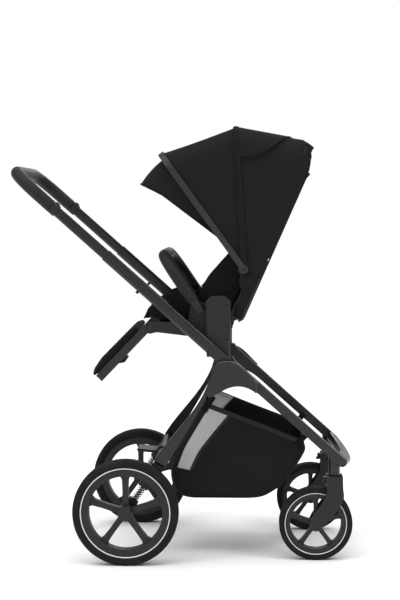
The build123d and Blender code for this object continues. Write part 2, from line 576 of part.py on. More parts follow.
HINGE_R = 16.0
FOOT_PIN_R = 5.0
SOCKET_ANGLE = 124.2
SOCKET_X, SOCKET_Z = SEAT_X - 56.0, SEAT_Z + 22.0
SOCKET_LENGTH = 38.0
RECLINE_PIN_R = 6.0
with BuildPart() as rails:
    with BuildSketch(side_plane(SEAT_X, SEAT_Z, out=RAIL_IN)):
        Circle(32.0)
        with BuildLine():
            Polyline(
                (FOOT_HINGE_X - SEAT_X, -5), (-130, -6), (-92, -6), (-84, 46), (-52, 48), (-10, 30),
                (10, -30), (-60, -50), (-90, -43), (FOOT_HINGE_X - SEAT_X + 18, -33), (FOOT_HINGE_X - SEAT_X, -37),
                close=True,
            )
        make_face()
        with Locations((FOOT_HINGE_X - SEAT_X, FOOT_HINGE_Z - SEAT_Z)):
            Circle(HINGE_R)
            Circle(FOOT_PIN_R + RUNNING_GAP, mode=Mode.SUBTRACT)
        Circle(RECLINE_PIN_R + RUNNING_GAP, mode=Mode.SUBTRACT)
    extrude(amount=RAIL_OUT - RAIL_IN)
    mirror(about=Plane.XZ)
    with BuildSketch(side_plane(SEAT_X - 158.0, SEAT_Z - 26.0, out=-RAIL_IN)):
        Circle(8.0)
    extrude(amount=2 * RAIL_IN)
save(rails.part, "seat_rails")

BASE_TOP = SEAT_Z + 1.0
with BuildPart() as seat_base:
    with BuildSketch(side_plane(SEAT_X, SEAT_Z, out=-RAIL_IN)):
        with BuildLine():
            Polyline((-168, -17), (-130, -6), (-20, -6), (-20, -2), (-131, -2), (-171, -13), close=True)
        make_face()
    extrude(amount=2 * RAIL_IN)
save(seat_base.part, "seat_base")

with BuildPart() as bumper_socket:
    socket_up = radians(SOCKET_ANGLE)
    socket_dir = (cos(socket_up), 0, sin(socket_up))
    socket_y = 184.0
    socket_plane = Plane(origin=(SOCKET_X, -socket_y, SOCKET_Z), x_dir=(0, 1, 0), z_dir=socket_dir)
    with BuildSketch(socket_plane):
        RectangleRounded(2 * (socket_y - RAIL_OUT), 22.0, 6.0)
    extrude(amount=SOCKET_LENGTH)
    with BuildSketch(socket_plane.offset(8.0)):
        Circle(7.0 + SLIDING_GAP)
    extrude(amount=SOCKET_LENGTH, mode=Mode.SUBTRACT)
save_both(bumper_socket.part, "bumper_sockets")

SEAT_PAD_TOP = SEAT_Z + 40.0
BUCKLE_BUTTON_R = 10.0
WING_TOP = SEAT_Z + 84.0
with BuildPart() as seat_pad:
    with BuildSketch(side_plane(SEAT_X, SEAT_Z, out=-126.0)):
        with BuildLine():
            Polyline(
                (-171, -12.4), (-131, -1.4), (-10, -1.4), (-14, 34), (-60, 36), (-150, 42), (-191, 42),
                (-203, 30), (-214, 2), (-206, -10), (-196, 2), close=True,
            )
        make_face()
    extrude(amount=252.0)
    for inner in (126.0, -RAIL_IN + 0.6):
        with BuildSketch(side_plane(SEAT_X, SEAT_Z, out=inner)):
            with BuildLine():
                Polyline(
                    (-171, -12.4), (-131, -1.4), (-74, -1.4), (-76, 84), (-112, 82), (-158, 66), (-191, 42),
                    (-203, 30), (-214, 2), (-206, -10), (-196, 2), close=True,
                )
            make_face()
        extrude(amount=RAIL_IN - 0.6 - 126.0)
    with BuildSketch(side_plane(FOOT_HINGE_X, FOOT_HINGE_Z, out=-RAIL_IN)):
        Circle(27.0)
    extrude(amount=2 * RAIL_IN, mode=Mode.SUBTRACT)
save(seat_pad.part, "seat_pad")

with BuildPart() as harness_buckle:
    with BuildSketch(Plane.XY.offset(SEAT_PAD_TOP + 1.4)):
        with Locations((SEAT_X - 110, 0)):
            RectangleRounded(44.0, 48.0, 12.0)
    extrude(amount=14.0)
    fillet(harness_buckle.faces().sort_by(Axis.Z)[-1].edges(), 4.0)
    with BuildSketch(Plane.XY.offset(SEAT_PAD_TOP + 1.4 + 10.0)):
        with Locations((SEAT_X - 110, 0)):
            Circle(BUCKLE_BUTTON_R + 0.4)
    extrude(amount=10.0, mode=Mode.SUBTRACT)
save(harness_buckle.part, "harness_buckle")

with BuildPart() as buckle_button:
    with BuildSketch(Plane.XY.offset(SEAT_PAD_TOP + 1.4 + 10.0 + BUTTON_TRAVEL)):
        with Locations((SEAT_X - 110, 0)):
            Circle(BUCKLE_BUTTON_R)
    extrude(amount=3.0)
save(buckle_button.part, "buckle_button")

# ================================================================ backrest
BEAM_BACK = -50.0
BEAM_FRONT = -16.0
with BuildPart() as back_frame:
    with BuildSketch(side_plane(SEAT_X, SEAT_Z, BACK_ANGLE, BEAM_IN)):
        with BuildLine():
            Polyline(
                (12, BEAM_FRONT - 26), (22, BEAM_BACK), (BACK_LENGTH - 90, BEAM_BACK), (BACK_LENGTH - 20, BEAM_BACK + 8),
                (BACK_LENGTH, BEAM_BACK + 20), (BACK_LENGTH, BEAM_BACK + 36), (BACK_LENGTH - 20, BEAM_FRONT),
                (60, BEAM_FRONT), (34, BEAM_FRONT - 10), close=True,
            )
        make_face()
    extrude(amount=BEAM_OUT - BEAM_IN)
    arm_in = BEAM_IN - 16.0
    with BuildSketch(side_plane(SEAT_X, SEAT_Z, BACK_ANGLE, arm_in)):
        Circle(20.0)
        with BuildLine():
            Polyline((0, 20), (70, BEAM_FRONT - 2), (70, BEAM_FRONT - 22), (24, BEAM_BACK + 4), (0, -20), close=True)
        make_face()
    extrude(amount=BEAM_IN - arm_in)
    with BuildSketch(side_plane(SEAT_X, SEAT_Z, out=BEAM_IN)):
        Circle(RECLINE_PIN_R)
    extrude(amount=RAIL_OUT - BEAM_IN)
    mirror(about=Plane.XZ)
    back_up = radians(BACK_ANGLE)
    cross_x, cross_z = along(SEAT_X, SEAT_Z, BACK_ANGLE, BACK_LENGTH - 16.0, BEAM_BACK + 18.0)
    with BuildSketch(side_plane(cross_x, cross_z, out=-BEAM_IN)):
        Circle(8.0)
    extrude(amount=2 * BEAM_IN)
    low_x, low_z = along(SEAT_X, SEAT_Z, BACK_ANGLE, 52.0, BEAM_BACK + 16.0)
    with BuildSketch(side_plane(low_x, low_z, out=-BEAM_IN)):
        Circle(8.0)
    extrude(amount=2 * BEAM_IN)
save(back_frame.part, "back_frame")

with BuildPart() as back_panel:
    with BuildSketch(side_plane(SEAT_X, SEAT_Z, BACK_ANGLE, -BEAM_IN + SOFT_GAP)):
        with Locations(((70 + BACK_LENGTH - 34) / 2, BEAM_BACK + 8)):
            Rectangle(BACK_LENGTH - 34 - 70, 4.0)
    extrude(amount=2 * (BEAM_IN - SOFT_GAP))
save(back_panel.part, "back_panel")

WING_IN = 128.0
with BuildPart() as back_pad:
    with BuildSketch(side_plane(SEAT_X, SEAT_Z, BACK_ANGLE, -BEAM_IN + SOFT_GAP)):
        with Locations(((66 + BACK_LENGTH - 36) / 2, BEAM_BACK + 26)):
            Rectangle(BACK_LENGTH - 36 - 66, 27.0)
    extrude(amount=2 * (BEAM_IN - SOFT_GAP))
    for inner in (WING_IN, -BEAM_IN + SOFT_GAP):
        with BuildSketch(side_plane(SEAT_X, SEAT_Z, BACK_ANGLE, inner)):
            with BuildLine():
                Polyline(
                    (66, BEAM_BACK + 14), (72, -2), (26, 14), (8, 66), (22, 84), (42, 90), (78, 87), (157, 61),
                    (300, 22), (BACK_LENGTH - 60, 8), (BACK_LENGTH - 36, -10), (BACK_LENGTH - 36, BEAM_BACK + 14), close=True,
                )
            make_face()
        extrude(amount=BEAM_IN - SOFT_GAP - WING_IN)
    with BuildSketch(side_plane(SEAT_X, SEAT_Z, out=-BEAM_IN)):
        Circle(34.0)
    extrude(amount=2 * BEAM_IN, mode=Mode.SUBTRACT)
    arm_clear = side_plane(SEAT_X, SEAT_Z, BACK_ANGLE, -BEAM_IN)
    with BuildSketch(arm_clear):
        with Locations((50, -26)):
            Rectangle(44, 60)
    extrude(amount=18.0, mode=Mode.SUBTRACT)
    with BuildSketch(side_plane(SEAT_X, SEAT_Z, BACK_ANGLE, BEAM_IN - 18.0)):
        with Locations((50, -26)):
            Rectangle(44, 60)
    extrude(amount=18.0, mode=Mode.SUBTRACT)
save(back_pad.part, "back_pad")

CANOPY_PIN_R = 4.0
BRACKET_IN = BEAM_OUT + 0.2
BRACKET_OUT = BRACKET_IN + 4.0
with BuildPart() as canopy_bracket:
    with BuildSketch(side_plane(HOOD_X, HOOD_Z, BACK_ANGLE, BRACKET_IN)):
        Circle(16.0)
        with Locations((-8, -16)):
            Rectangle(34, 34)
    extrude(amount=BRACKET_OUT - BRACKET_IN)
    with BuildSketch(side_plane(HOOD_X, HOOD_Z, out=BRACKET_IN)):
        Circle(CANOPY_PIN_R)
    extrude(amount=188.0 - BRACKET_IN)
save_both(canopy_bracket.part, "canopy_brackets")

with BuildPart() as harness_straps:
    with BuildSketch(side_plane(SEAT_X, SEAT_Z, BACK_ANGLE, 26.0)):
        with Locations((250, BEAM_BACK + 26 + 13.5 + SOFT_GAP + 2.0)):
            Rectangle(200, 4.0)
    extrude(amount=38.0)
save_both(harness_straps.part, "harness_straps")

with BuildPart() as recline_handle:
    with BuildSketch(side_plane(SEAT_X, SEAT_Z, BACK_ANGLE, -45.0)):
        with BuildLine():
            Polyline((BACK_LENGTH - 80, BEAM_BACK + 5.4), (BACK_LENGTH - 80, BEAM_BACK - 2), (BACK_LENGTH - 60, BEAM_BACK - 10),
                     (BACK_LENGTH - 56, BEAM_BACK - 8), (BACK_LENGTH - 58, BEAM_BACK + 5.4), close=True)
        make_face()
    extrude(amount=90.0)
save(recline_handle.part, "recline_handle")

# ================================================================ canopy
CLOTH = 2.0
MID_BOW_ANGLE = 93.4
FRONT_BOW_ANGLE = 126.0
REAR_EDGE_ANGLE = 65.5
CANOPY_HALF = 178.0


HOOD_CORNER = 62.0


def arch(radius, half_width, low, corner):
    """An arch face standing on y = 0: straight sides from low up, with round upper corners."""
    with BuildSketch() as face:
        with BuildLine():
            Polyline((-half_width, radius - corner), (-half_width, low), (half_width, low), (half_width, radius - corner))
            RadiusArc((half_width, radius - corner), (half_width - corner, radius), -corner)
            Line((half_width - corner, radius), (corner - half_width, radius))
            RadiusArc((corner - half_width, radius), (-half_width, radius - corner), -corner)
        make_face()
    return face.sketch


def arch_plane(x, z, angle):
    """The plane through the cross axis at (x, z), its y-axis raised by angle from +X."""
    a = radians(angle)
    return Plane(origin=(x, 0, z), x_dir=(0, 1, 0), z_dir=(sin(a), 0, -cos(a)))


def make_panel(x, z, start, end, radii, half_width, low, corner, wall):
    """A cloth panel stretched straight from one bow to the next."""
    with BuildPart() as panel:
        for inset, mode in ((0.0, Mode.ADD), (wall, Mode.SUBTRACT)):
            with BuildSketch(arch_plane(x, z, start)):
                add(arch(radii[0] - inset, half_width - inset, low - 3 * inset, corner - inset))
            with BuildSketch(arch_plane(x, z, end)):
                add(arch(radii[1] - inset, half_width - inset, low - 3 * inset, corner - inset))
            loft(ruled=True, mode=mode)
    return panel.part


def make_bow(x, z, angle, radius, half_width, wall, thickness, corner):
    """A flat bow that runs from the pivot on one side over to the pivot on the other."""
    with BuildPart() as bow:
        with BuildSketch(arch_plane(x, z, angle).offset(-thickness / 2)):
            add(arch(radius, half_width, -9.0, corner))
            add(arch(radius - wall, half_width - wall, -30.0, corner - wall), mode=Mode.SUBTRACT)
        extrude(amount=thickness)
        with BuildSketch(side_plane(x, z, out=half_width - wall)):
            Circle(11.0)
        extrude(amount=wall)
        with BuildSketch(side_plane(x, z, out=-half_width)):
            Circle(11.0)
        extrude(amount=wall)
        with BuildSketch(side_plane(x, z, out=-2 * half_width)):
            Circle(CANOPY_PIN_R + RUNNING_GAP)
        extrude(amount=4 * half_width, mode=Mode.SUBTRACT)
    return bow.part


hood = (HOOD_X, HOOD_Z)
rear_panel = make_panel(
    *hood, REAR_EDGE_ANGLE, MID_BOW_ANGLE, (CANOPY_R, CANOPY_R), CANOPY_HALF, 40.0, HOOD_CORNER, CLOTH
)
save(rear_panel, "canopy_rear_panel")
front_panel = make_panel(
    *hood, MID_BOW_ANGLE, FRONT_BOW_ANGLE - 0.5, (CANOPY_R, CANOPY_R), CANOPY_HALF, 40.0, HOOD_CORNER, CLOTH
)
save(front_panel, "canopy_front_panel")
mid_half = CANOPY_HALF + SOFT_GAP + 3.0
front_half = mid_half + 0.5 + 3.0
save(make_bow(*hood, MID_BOW_ANGLE, CANOPY_R + SOFT_GAP + 3.0, mid_half, 3.0, 12.0, HOOD_CORNER), "canopy_mid_bow")
save(make_bow(*hood, FRONT_BOW_ANGLE, CANOPY_R + SOFT_GAP + 3.5, front_half, 3.0, 16.0, HOOD_CORNER), "canopy_front_bow")

visor = along(*hood, FRONT_BOW_ANGLE, 128.0)
visor_panel = make_panel(*visor, 124.0, 147.0, (CANOPY_R - 142, 236.0), CANOPY_HALF - CLOTH - 0.5, 24.0, 56.0, CLOTH)
visor_half = CANOPY_HALF - CLOTH - 0.5
with BuildPart() as visor_pivot:
    with BuildSketch(side_plane(*visor, 135.0, visor_half - CLOTH)):
        Circle(9.0)
        with Locations((15, 0)):
            Rectangle(30, 12)
    extrude(amount=CLOTH)
save(visor_panel + visor_pivot.part + mirror(visor_pivot.part, Plane.XZ), "canopy_visor")

# ================================================================ footrest and bumper bar
FOOT_ANGLE = 226.4
FOOT_LENGTH = 198.0
FOOT_IN = RAIL_IN - 14.0
FOOT_LINE = -5.5
LATCH_REACH = 134.0
with BuildPart() as foot_frame:
    with BuildSketch(side_plane(FOOT_HINGE_X, FOOT_HINGE_Z, FOOT_ANGLE, FOOT_IN)):
        Circle(14.0)
        with Locations((FOOT_LENGTH / 2, FOOT_LINE)):
            Rectangle(FOOT_LENGTH, 22.0)
    extrude(amount=RAIL_IN - 0.5 - FOOT_IN)
    with BuildSketch(side_plane(FOOT_HINGE_X, FOOT_HINGE_Z, out=FOOT_IN)):
        Circle(FOOT_PIN_R)
    extrude(amount=RAIL_OUT - FOOT_IN)
    mirror(about=Plane.XZ)
    with BuildSketch(side_plane(FOOT_HINGE_X, FOOT_HINGE_Z, FOOT_ANGLE, -FOOT_IN)):
        with Locations((FOOT_LENGTH - 12, FOOT_LINE), (LATCH_REACH, FOOT_LINE), (56, FOOT_LINE)):
            Rectangle(24, 14.0)
    extrude(amount=2 * FOOT_IN)
save(foot_frame.part, "footrest_frame")

FOOT_PAD_LOW = FOOT_LINE - 11.0 - SOFT_GAP
with BuildPart() as foot_pad:
    with BuildSketch(side_plane(FOOT_HINGE_X, FOOT_HINGE_Z, FOOT_ANGLE, -FOOT_IN)):
        with BuildLine():
            Polyline(
                (28, FOOT_PAD_LOW), (202, FOOT_PAD_LOW), (206, -24), (192, -32), (155, -38), (40, -36), (28, -30),
                close=True,
            )
        make_face()
    extrude(amount=2 * FOOT_IN)
save(foot_pad.part, "footrest_pad")

with BuildPart() as foot_latch:
    with BuildSketch(side_plane(FOOT_HINGE_X, FOOT_HINGE_Z, FOOT_ANGLE, -48.0)):
        with BuildLine():
            low = FOOT_LINE + 7.0 + SOFT_GAP
            Polyline(
                (LATCH_REACH - 9, low), (LATCH_REACH - 11, low + 12), (LATCH_REACH - 3, low + 14),
                (LATCH_REACH + 9, low + 6), (LATCH_REACH + 9, low), close=True,
            )
        make_face()
    extrude(amount=96.0)
save(foot_latch.part, "footrest_latch")

BUMPER_R = 16.5
BUMPER_REACH = 180.0
with BuildPart() as bumper:
    bumper_plane = Plane(origin=(SOCKET_X, 0, SOCKET_Z), x_dir=socket_dir, z_dir=(sin(socket_up), 0, -cos(socket_up)))
    start = SOCKET_LENGTH + 1.0
    with BuildLine(bumper_plane) as bumper_path:
        FilletPolyline(
            (start, socket_y), (BUMPER_REACH, socket_y), (BUMPER_REACH, -socket_y), (start, -socket_y), radius=72.0
        )
    with BuildSketch(Plane(origin=bumper_path.line @ 0, z_dir=bumper_path.line % 0)):
        Circle(BUMPER_R)
    sweep()
    for y in (socket_y, -socket_y):
        with BuildSketch(Plane(origin=(SOCKET_X, y, SOCKET_Z), x_dir=(0, 1, 0), z_dir=socket_dir).offset(12.0)):
            Circle(7.0)
        extrude(amount=start - 12.0)
    press_x, press_z = along(SOCKET_X, SOCKET_Z, SOCKET_ANGLE, SOCKET_LENGTH + 16.0)
    for inner in (socket_y + BUMPER_R - 7.0, -socket_y - BUMPER_R - 5.0):
        with BuildSketch(side_plane(press_x, press_z, out=inner)):
            Circle(BUTTON_R + 0.4)
        extrude(amount=12.0, mode=Mode.SUBTRACT)
save(bumper.part, "bumper_bar")

with BuildPart() as bumper_button:
    with BuildSketch(side_plane(press_x, press_z, out=socket_y + BUMPER_R - 7.0 + BUTTON_TRAVEL + 0.3)):
        Circle(BUTTON_R)
    extrude(amount=4.0)
save_pair(bumper_button.part, "bumper_button")

# ================================================================ basket
BASKET_HALF = 172.0
BASKET_WALL = 2.5


def basket_outline():
    """The basket's rear, bottom and front edges in side view, from the rear of the rim round to its front."""
    Polyline((206, 418), (136, 300), (114, 240))
    Spline((114, 240), (124, 176), (160, 156), tangents=((-0.1, -1), (1, -0.15)))
    Line((160, 156), (333, 156))
    Spline((333, 156), (397, 181), (440, 222), tangents=((1, 0), (0.6, 1)))
    Polyline((440, 222), (482, 292), (470, 316))


with BuildPart() as basket:
    with BuildSketch(side_plane(REAR_AXLE_X, 0, out=-BASKET_HALF)):
        with BuildLine():
            basket_outline()
        trace(line_width=2 * BASKET_WALL)
    extrude(amount=2 * BASKET_HALF)
    for inner in (BASKET_HALF - BASKET_WALL, -BASKET_HALF):
        with BuildSketch(side_plane(REAR_AXLE_X, 0, out=inner)):
            with BuildLine():
                basket_outline()
                Polyline((470, 316), (340, 364), (206, 418))
            make_face()
        extrude(amount=BASKET_WALL)
save(basket.part, "basket")

STRAP_HALF = 9.0
with BuildPart() as basket_straps:
    for place, lean in (((216, 412), 58.0), ((466, 318), 48.0)):
        with BuildSketch(side_plane(REAR_AXLE_X + place[0], place[1], lean, BASKET_HALF + SOFT_GAP)):
            with Locations((12, 0)):
                RectangleRounded(44, 2 * STRAP_HALF, 4)
        extrude(amount=FRONT_LEG_IN - BASKET_HALF - 2 * SOFT_GAP)
save_both(basket_straps.part, "basket_straps")

with BuildPart() as base_board:
    with BuildSketch(Plane.XY.offset(156 + BASKET_WALL + SOFT_GAP)):
        with Locations((REAR_AXLE_X + 246, 0)):
            RectangleRounded(168, 2 * (BASKET_HALF - BASKET_WALL - 4), 12)
    extrude(amount=3.0)
save(base_board.part, "basket_board")
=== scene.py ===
"""A baby stroller dressed for its portrait: coats, plastics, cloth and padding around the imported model.

Metres. +X is the driving direction, +Y the stroller's left, +Z up. The seat faces the handlebar, towards -X.
"""

import json
from math import cos, hypot, pi, radians, sin

import bmesh
import bpy
import numpy as np
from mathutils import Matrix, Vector


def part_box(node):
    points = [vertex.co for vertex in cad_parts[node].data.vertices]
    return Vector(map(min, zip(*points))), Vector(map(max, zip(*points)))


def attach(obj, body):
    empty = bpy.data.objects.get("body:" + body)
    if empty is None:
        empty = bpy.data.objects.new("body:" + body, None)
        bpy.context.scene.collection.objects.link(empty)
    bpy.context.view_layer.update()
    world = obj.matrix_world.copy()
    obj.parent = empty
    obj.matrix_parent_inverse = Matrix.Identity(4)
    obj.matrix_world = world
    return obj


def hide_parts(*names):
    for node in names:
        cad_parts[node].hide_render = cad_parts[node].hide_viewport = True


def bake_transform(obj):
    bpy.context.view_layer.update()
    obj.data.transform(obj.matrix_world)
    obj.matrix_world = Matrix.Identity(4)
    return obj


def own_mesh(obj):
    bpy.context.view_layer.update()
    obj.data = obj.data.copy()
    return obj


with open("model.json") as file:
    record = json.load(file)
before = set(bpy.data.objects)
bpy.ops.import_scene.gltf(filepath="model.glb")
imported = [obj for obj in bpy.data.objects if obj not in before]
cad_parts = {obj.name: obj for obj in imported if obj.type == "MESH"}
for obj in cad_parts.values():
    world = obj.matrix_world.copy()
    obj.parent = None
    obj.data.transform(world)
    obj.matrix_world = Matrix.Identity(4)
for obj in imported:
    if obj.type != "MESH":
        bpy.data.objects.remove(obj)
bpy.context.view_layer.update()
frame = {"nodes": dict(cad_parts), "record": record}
nodes = frame["nodes"]

# ---------------------------------------------------------------- studio floor
# A pale matt floor that runs far out under the stroller, lit by a wide soft ceiling and three small soft panels in
# a dim room, so that tubes and edges catch a highlight along their tops.


class Wire:
    """One output of a shader node. Sums, differences and products of it add Math nodes."""

    def __init__(self, paint, socket):
        self.paint, self.socket = paint, socket

    def _math(self, operation, a, b):
        return self.paint.node("ShaderNodeMath", {"operation": operation}, {0: a, 1: b})

    def __add__(self, other):
        return self._math("ADD", self, other)

    def __sub__(self, other):
        return self._math("SUBTRACT", self, other)

    def __rsub__(self, other):
        return self._math("SUBTRACT", other, self)

    def __mul__(self, other):
        return self._math("MULTIPLY", self, other)

    __radd__, __rmul__ = __add__, __mul__

    def abs(self):
        return self._math("ABSOLUTE", self, 0.0)

    def sine(self):
        return self._math("SINE", self, 0.0)


class Paint:
    """A material made of nodes around one Principled shader."""

    def __init__(self, name, **constants):
        self.material = bpy.data.materials.new(name)
        self.material.use_nodes = True
        self.tree = self.material.node_tree
        self.shader = self.tree.nodes["Principled BSDF"]
        for socket, value in constants.items():
            self.shader.inputs[socket.replace("_", " ")].default_value = value

    def node(self, kind, settings=None, inputs=None, output=0):
        """Adds a node: its settings first, then values or links for its sockets."""
        made = self.tree.nodes.new(kind)
        for name, value in (settings or {}).items():
            if name == "stops":
                ramp = made.color_ramp.elements
                while len(ramp) < len(value):
                    ramp.new(0.5)
                for stop, (place, colour) in zip(ramp, value):
                    stop.position, stop.color = place, colour
            else:
                setattr(made, name, value)
        for name, value in (inputs or {}).items():
            if isinstance(value, Wire):
                self.tree.links.new(value.socket, made.inputs[name])
            else:
                made.inputs[name].default_value = value
        return Wire(self, made.outputs[output])

    def place(self):
        """The point's place on the piece at rest, in metres."""
        return self.node("ShaderNodeTexCoord", output="Object")

    def noise(self, scale, detail=3.0, place=None, stretch=None):
        place = place or self.place()
        if stretch:
            place = self.node("ShaderNodeMapping", inputs={"Vector": place, "Scale": stretch})
        return self.node(
            "ShaderNodeTexNoise", {"noise_dimensions": "3D"}, {"Vector": place, "Scale": scale, "Detail": detail}
        )

    def mix(self, share, dark, light):
        return self.node("ShaderNodeMix", {"data_type": "RGBA"}, {0: share, 6: dark, 7: light}, output=2)

    def ramp(self, value, low, high):
        """0 below low, 1 above high, smooth in between."""
        return self.node(
            "ShaderNodeMapRange", {"interpolation_type": "SMOOTHSTEP"}, {0: value, 1: low, 2: high, 3: 0.0, 4: 1.0}
        )

    def bump(self, height, depth, strength=1.0, normal=None):
        inputs = {"Height": height, "Distance": depth, "Strength": strength}
        if normal:
            inputs["Normal"] = normal
        return self.node("ShaderNodeBump", {}, inputs)

    def set(self, **links):
        for socket, wire in links.items():
            self.tree.links.new(wire.socket, self.shader.inputs[socket.replace("_", " ")])
        return self.material


def mesh_object(name, points, faces, material=None, smooth=True):
    """A new mesh object in the row frame."""
    mesh = bpy.data.meshes.new(name)
    mesh.from_pydata([tuple(p) for p in points], [], faces)
    mesh.update()
    if smooth:
        mesh.shade_smooth()
    made = bpy.data.objects.new(name, mesh)
    bpy.context.scene.collection.objects.link(made)
    if material:
        mesh.materials.append(material)
    return made


paper = Paint("studio_floor", Roughness=0.9, Specular_IOR_Level=0.15)
grey = paper.mix(paper.noise(1.5, 2.0), (0.94, 0.94, 0.94, 1), (0.97, 0.97, 0.97, 1))
floor = mesh_object(
    "studio_floor", [(x, y, 0) for x, y in ((-40, -40), (40, -40), (40, 40), (-40, 40))], [(0, 1, 2, 3)],
    paper.set(Base_Color=grey)
)

sky = bpy.data.worlds.new("studio")
sky.use_nodes = True
paper_wall, room = sky.node_tree.nodes["Background"], sky.node_tree.nodes.new("ShaderNodeBackground")
paper_wall.inputs[0].default_value, paper_wall.inputs[1].default_value = (1, 1, 1, 1), 1.0
room.inputs[0].default_value, room.inputs[1].default_value = (1, 1, 1, 1), 0.42
seen, both = sky.node_tree.nodes.new("ShaderNodeLightPath"), sky.node_tree.nodes.new("ShaderNodeMixShader")
for start, end in (
    (seen.outputs["Is Camera Ray"], both.inputs[0]), (room.outputs[0], both.inputs[1]),
    (paper_wall.outputs[0], both.inputs[2]),
    (both.outputs[0], sky.node_tree.nodes["World Output"].inputs[0]),
):
    sky.node_tree.links.new(start, end)
bpy.context.scene.world = sky
bpy.context.scene.view_settings.view_transform = "Standard"
ceiling = bpy.data.objects.new("ceiling", bpy.data.lights.new("ceiling", "SUN"))
ceiling.data.energy, ceiling.data.angle = 2.1, radians(70)
ceiling.rotation_euler = (radians(8), radians(-6), 0)
bpy.context.scene.collection.objects.link(ceiling)
for name, place, aim, size, power in (
    ("rear_panel", (2.4, -1.4, 2.6), (0, 0, 0.7), 1.2, 30),
    ("front_panel", (-2.8, -2.4, 2.6), (0, 0, 0.6), 1.4, 34),
    ("rim_panel", (0.5, 3.0, 2.4), (0, 0, 0.7), 1.6, 30),
):
    light = bpy.data.lights.new(name, "AREA")
    light.size, light.energy = size, power
    panel = bpy.data.objects.new(name, light)
    panel.location = place
    panel.rotation_euler = (Vector(aim) - Vector(place)).to_track_quat("-Z", "Y").to_euler()
    bpy.context.scene.collection.objects.link(panel)

# ---------------------------------------------------------------- camera
# Side view from the stroller's right, four metres off, from a little above the seat
# and turned slightly to the left.
lens = bpy.data.cameras.new("portrait")
lens.lens, lens.sensor_width = 89.12, 36.0
camera = bpy.data.objects.new("portrait", lens)
camera.location = (0.1903, -4.1290, 0.9458)
camera.rotation_euler = (pi / 2 - 0.0635, 0.0, 0.0359)
bpy.context.scene.collection.objects.link(camera)
bpy.context.scene.camera = camera

# ---------------------------------------------------------------- coated tubes
# Aluminium side frames, legs, handle tubes and bow, powder coated in satin charcoal. The coat has a faint
# orange-peel skin, and wears to a lighter grey along the edges.


def edge_wear(paint, radius=0.0015):
    """A rounded normal, and a mask that is 1 on sharp outer edges."""
    round_normal = paint.node("ShaderNodeBevel", {"samples": 4}, {"Radius": radius})
    flat_normal = paint.node("ShaderNodeNewGeometry", output="Normal")
    facing = paint.node(
        "ShaderNodeVectorMath", {"operation": "DOT_PRODUCT"}, {0: round_normal, 1: flat_normal}, output=1
    )
    return round_normal, paint.ramp(1 - facing, 0.02, 0.22)


def satin_coat(name, dark, light, rough):
    coat = Paint(name, Specular_IOR_Level=0.5)
    round_normal, edges = edge_wear(coat)
    scuffs = coat.ramp(coat.noise(60, 6.0), 0.52, 0.72)
    tone = coat.mix(coat.noise(9, 3.0), dark, light)
    worn = coat.mix(edges * (0.35 + 0.4 * scuffs), tone, (0.1, 0.1, 0.103, 1))
    gloss = rough + 0.1 * coat.noise(35, 4.0) + 0.08 * scuffs
    return coat.set(
        Base_Color=worn, Roughness=gloss, Normal=coat.bump(coat.noise(1400, 1.0), 0.00012, 0.5, round_normal)
    )


def dress(material, *names):
    """Gives CAD nodes a finish."""
    for name in names:
        piece = nodes[name]
        if piece.material_slots:
            for place in piece.material_slots:
                place.material = material
        else:
            piece.data.materials.append(material)


charcoal = satin_coat("charcoal_coat", (0.0032, 0.0034, 0.0038, 1), (0.006, 0.0062, 0.0067, 1), 0.24)
dress(
    charcoal, "side_frames", "rear_legs", "handle_tubes", "handlebar_legs", "rear_cross_tube", "footrest_frame",
    "front_bow",
    "back_frame",
)

# ---------------------------------------------------------------- moulded plastic
# Glass-filled nylon housings, forks, rims and levers: black, with the fine spark grain of the mould.
# The pieces keep their CAD shapes and take only the look.


def moulded(name, dark, light, rough, grain=0.00018):
    plastic = Paint(name, Specular_IOR_Level=0.35)
    round_normal, edges = edge_wear(plastic, 0.0012)
    tone = plastic.mix(plastic.noise(14, 4.0), dark, light)
    worn = plastic.mix(edges * 0.35, tone, (0.06, 0.06, 0.063, 1))
    spark = plastic.noise(2600, 2.0)
    return plastic.set(
        Base_Color=worn, Roughness=rough + 0.14 * plastic.noise(50, 5.0),
        Normal=plastic.bump(spark, grain, 0.6, round_normal),
    )


nylon = moulded("black_nylon", (0.007, 0.0073, 0.008, 1), (0.012, 0.0124, 0.013, 1), 0.4)
dress(
    nylon, "seat_receivers", "strut_housings", "axle_carrier_right", "axle_carrier_left", "tube_fittings",
    "grip_collars",
    "seat_adapters", "release_levers", "seat_rails", "bumper_sockets", "canopy_brackets", "recline_handle",
    "swivel_lock_right", "swivel_lock_left", "brake_pedal", "seat_base", "back_panel", "footrest_latch",
    "height_buttons",
    "bumper_button_right", "bumper_button_left", "basket_board", "harness_buckle", "buckle_button",
    "castor_fork_right", "castor_fork_left", "canopy_mid_bow",
)
band = moulded("bow_band", (0.018, 0.018, 0.019, 1), (0.026, 0.026, 0.027, 1), 0.26, 0.00006)
dress(band, "canopy_front_bow")

# ---------------------------------------------------------------- wheels
# Foam rubber tyres with slotted inner walls on five-spoke moulded rims.
# A pale pinstripe runs round the outer wall of each tyre.


def foam_rubber():
    rubber = Paint("foam_rubber", Specular_IOR_Level=0.1)
    dust = rubber.ramp(rubber.noise(25, 6.0), 0.45, 0.75)
    tone = rubber.mix(rubber.noise(120, 3.0), (0.009, 0.009, 0.0095, 1), (0.015, 0.015, 0.0155, 1))
    dusty = rubber.mix(dust * 0.35, tone, (0.03, 0.0295, 0.029, 1))
    return rubber.set(
        Base_Color=dusty, Roughness=0.72 + 0.16 * rubber.noise(90, 4.0),
        Normal=rubber.bump(rubber.noise(1500, 3.0), 0.0003, 0.6),
    )


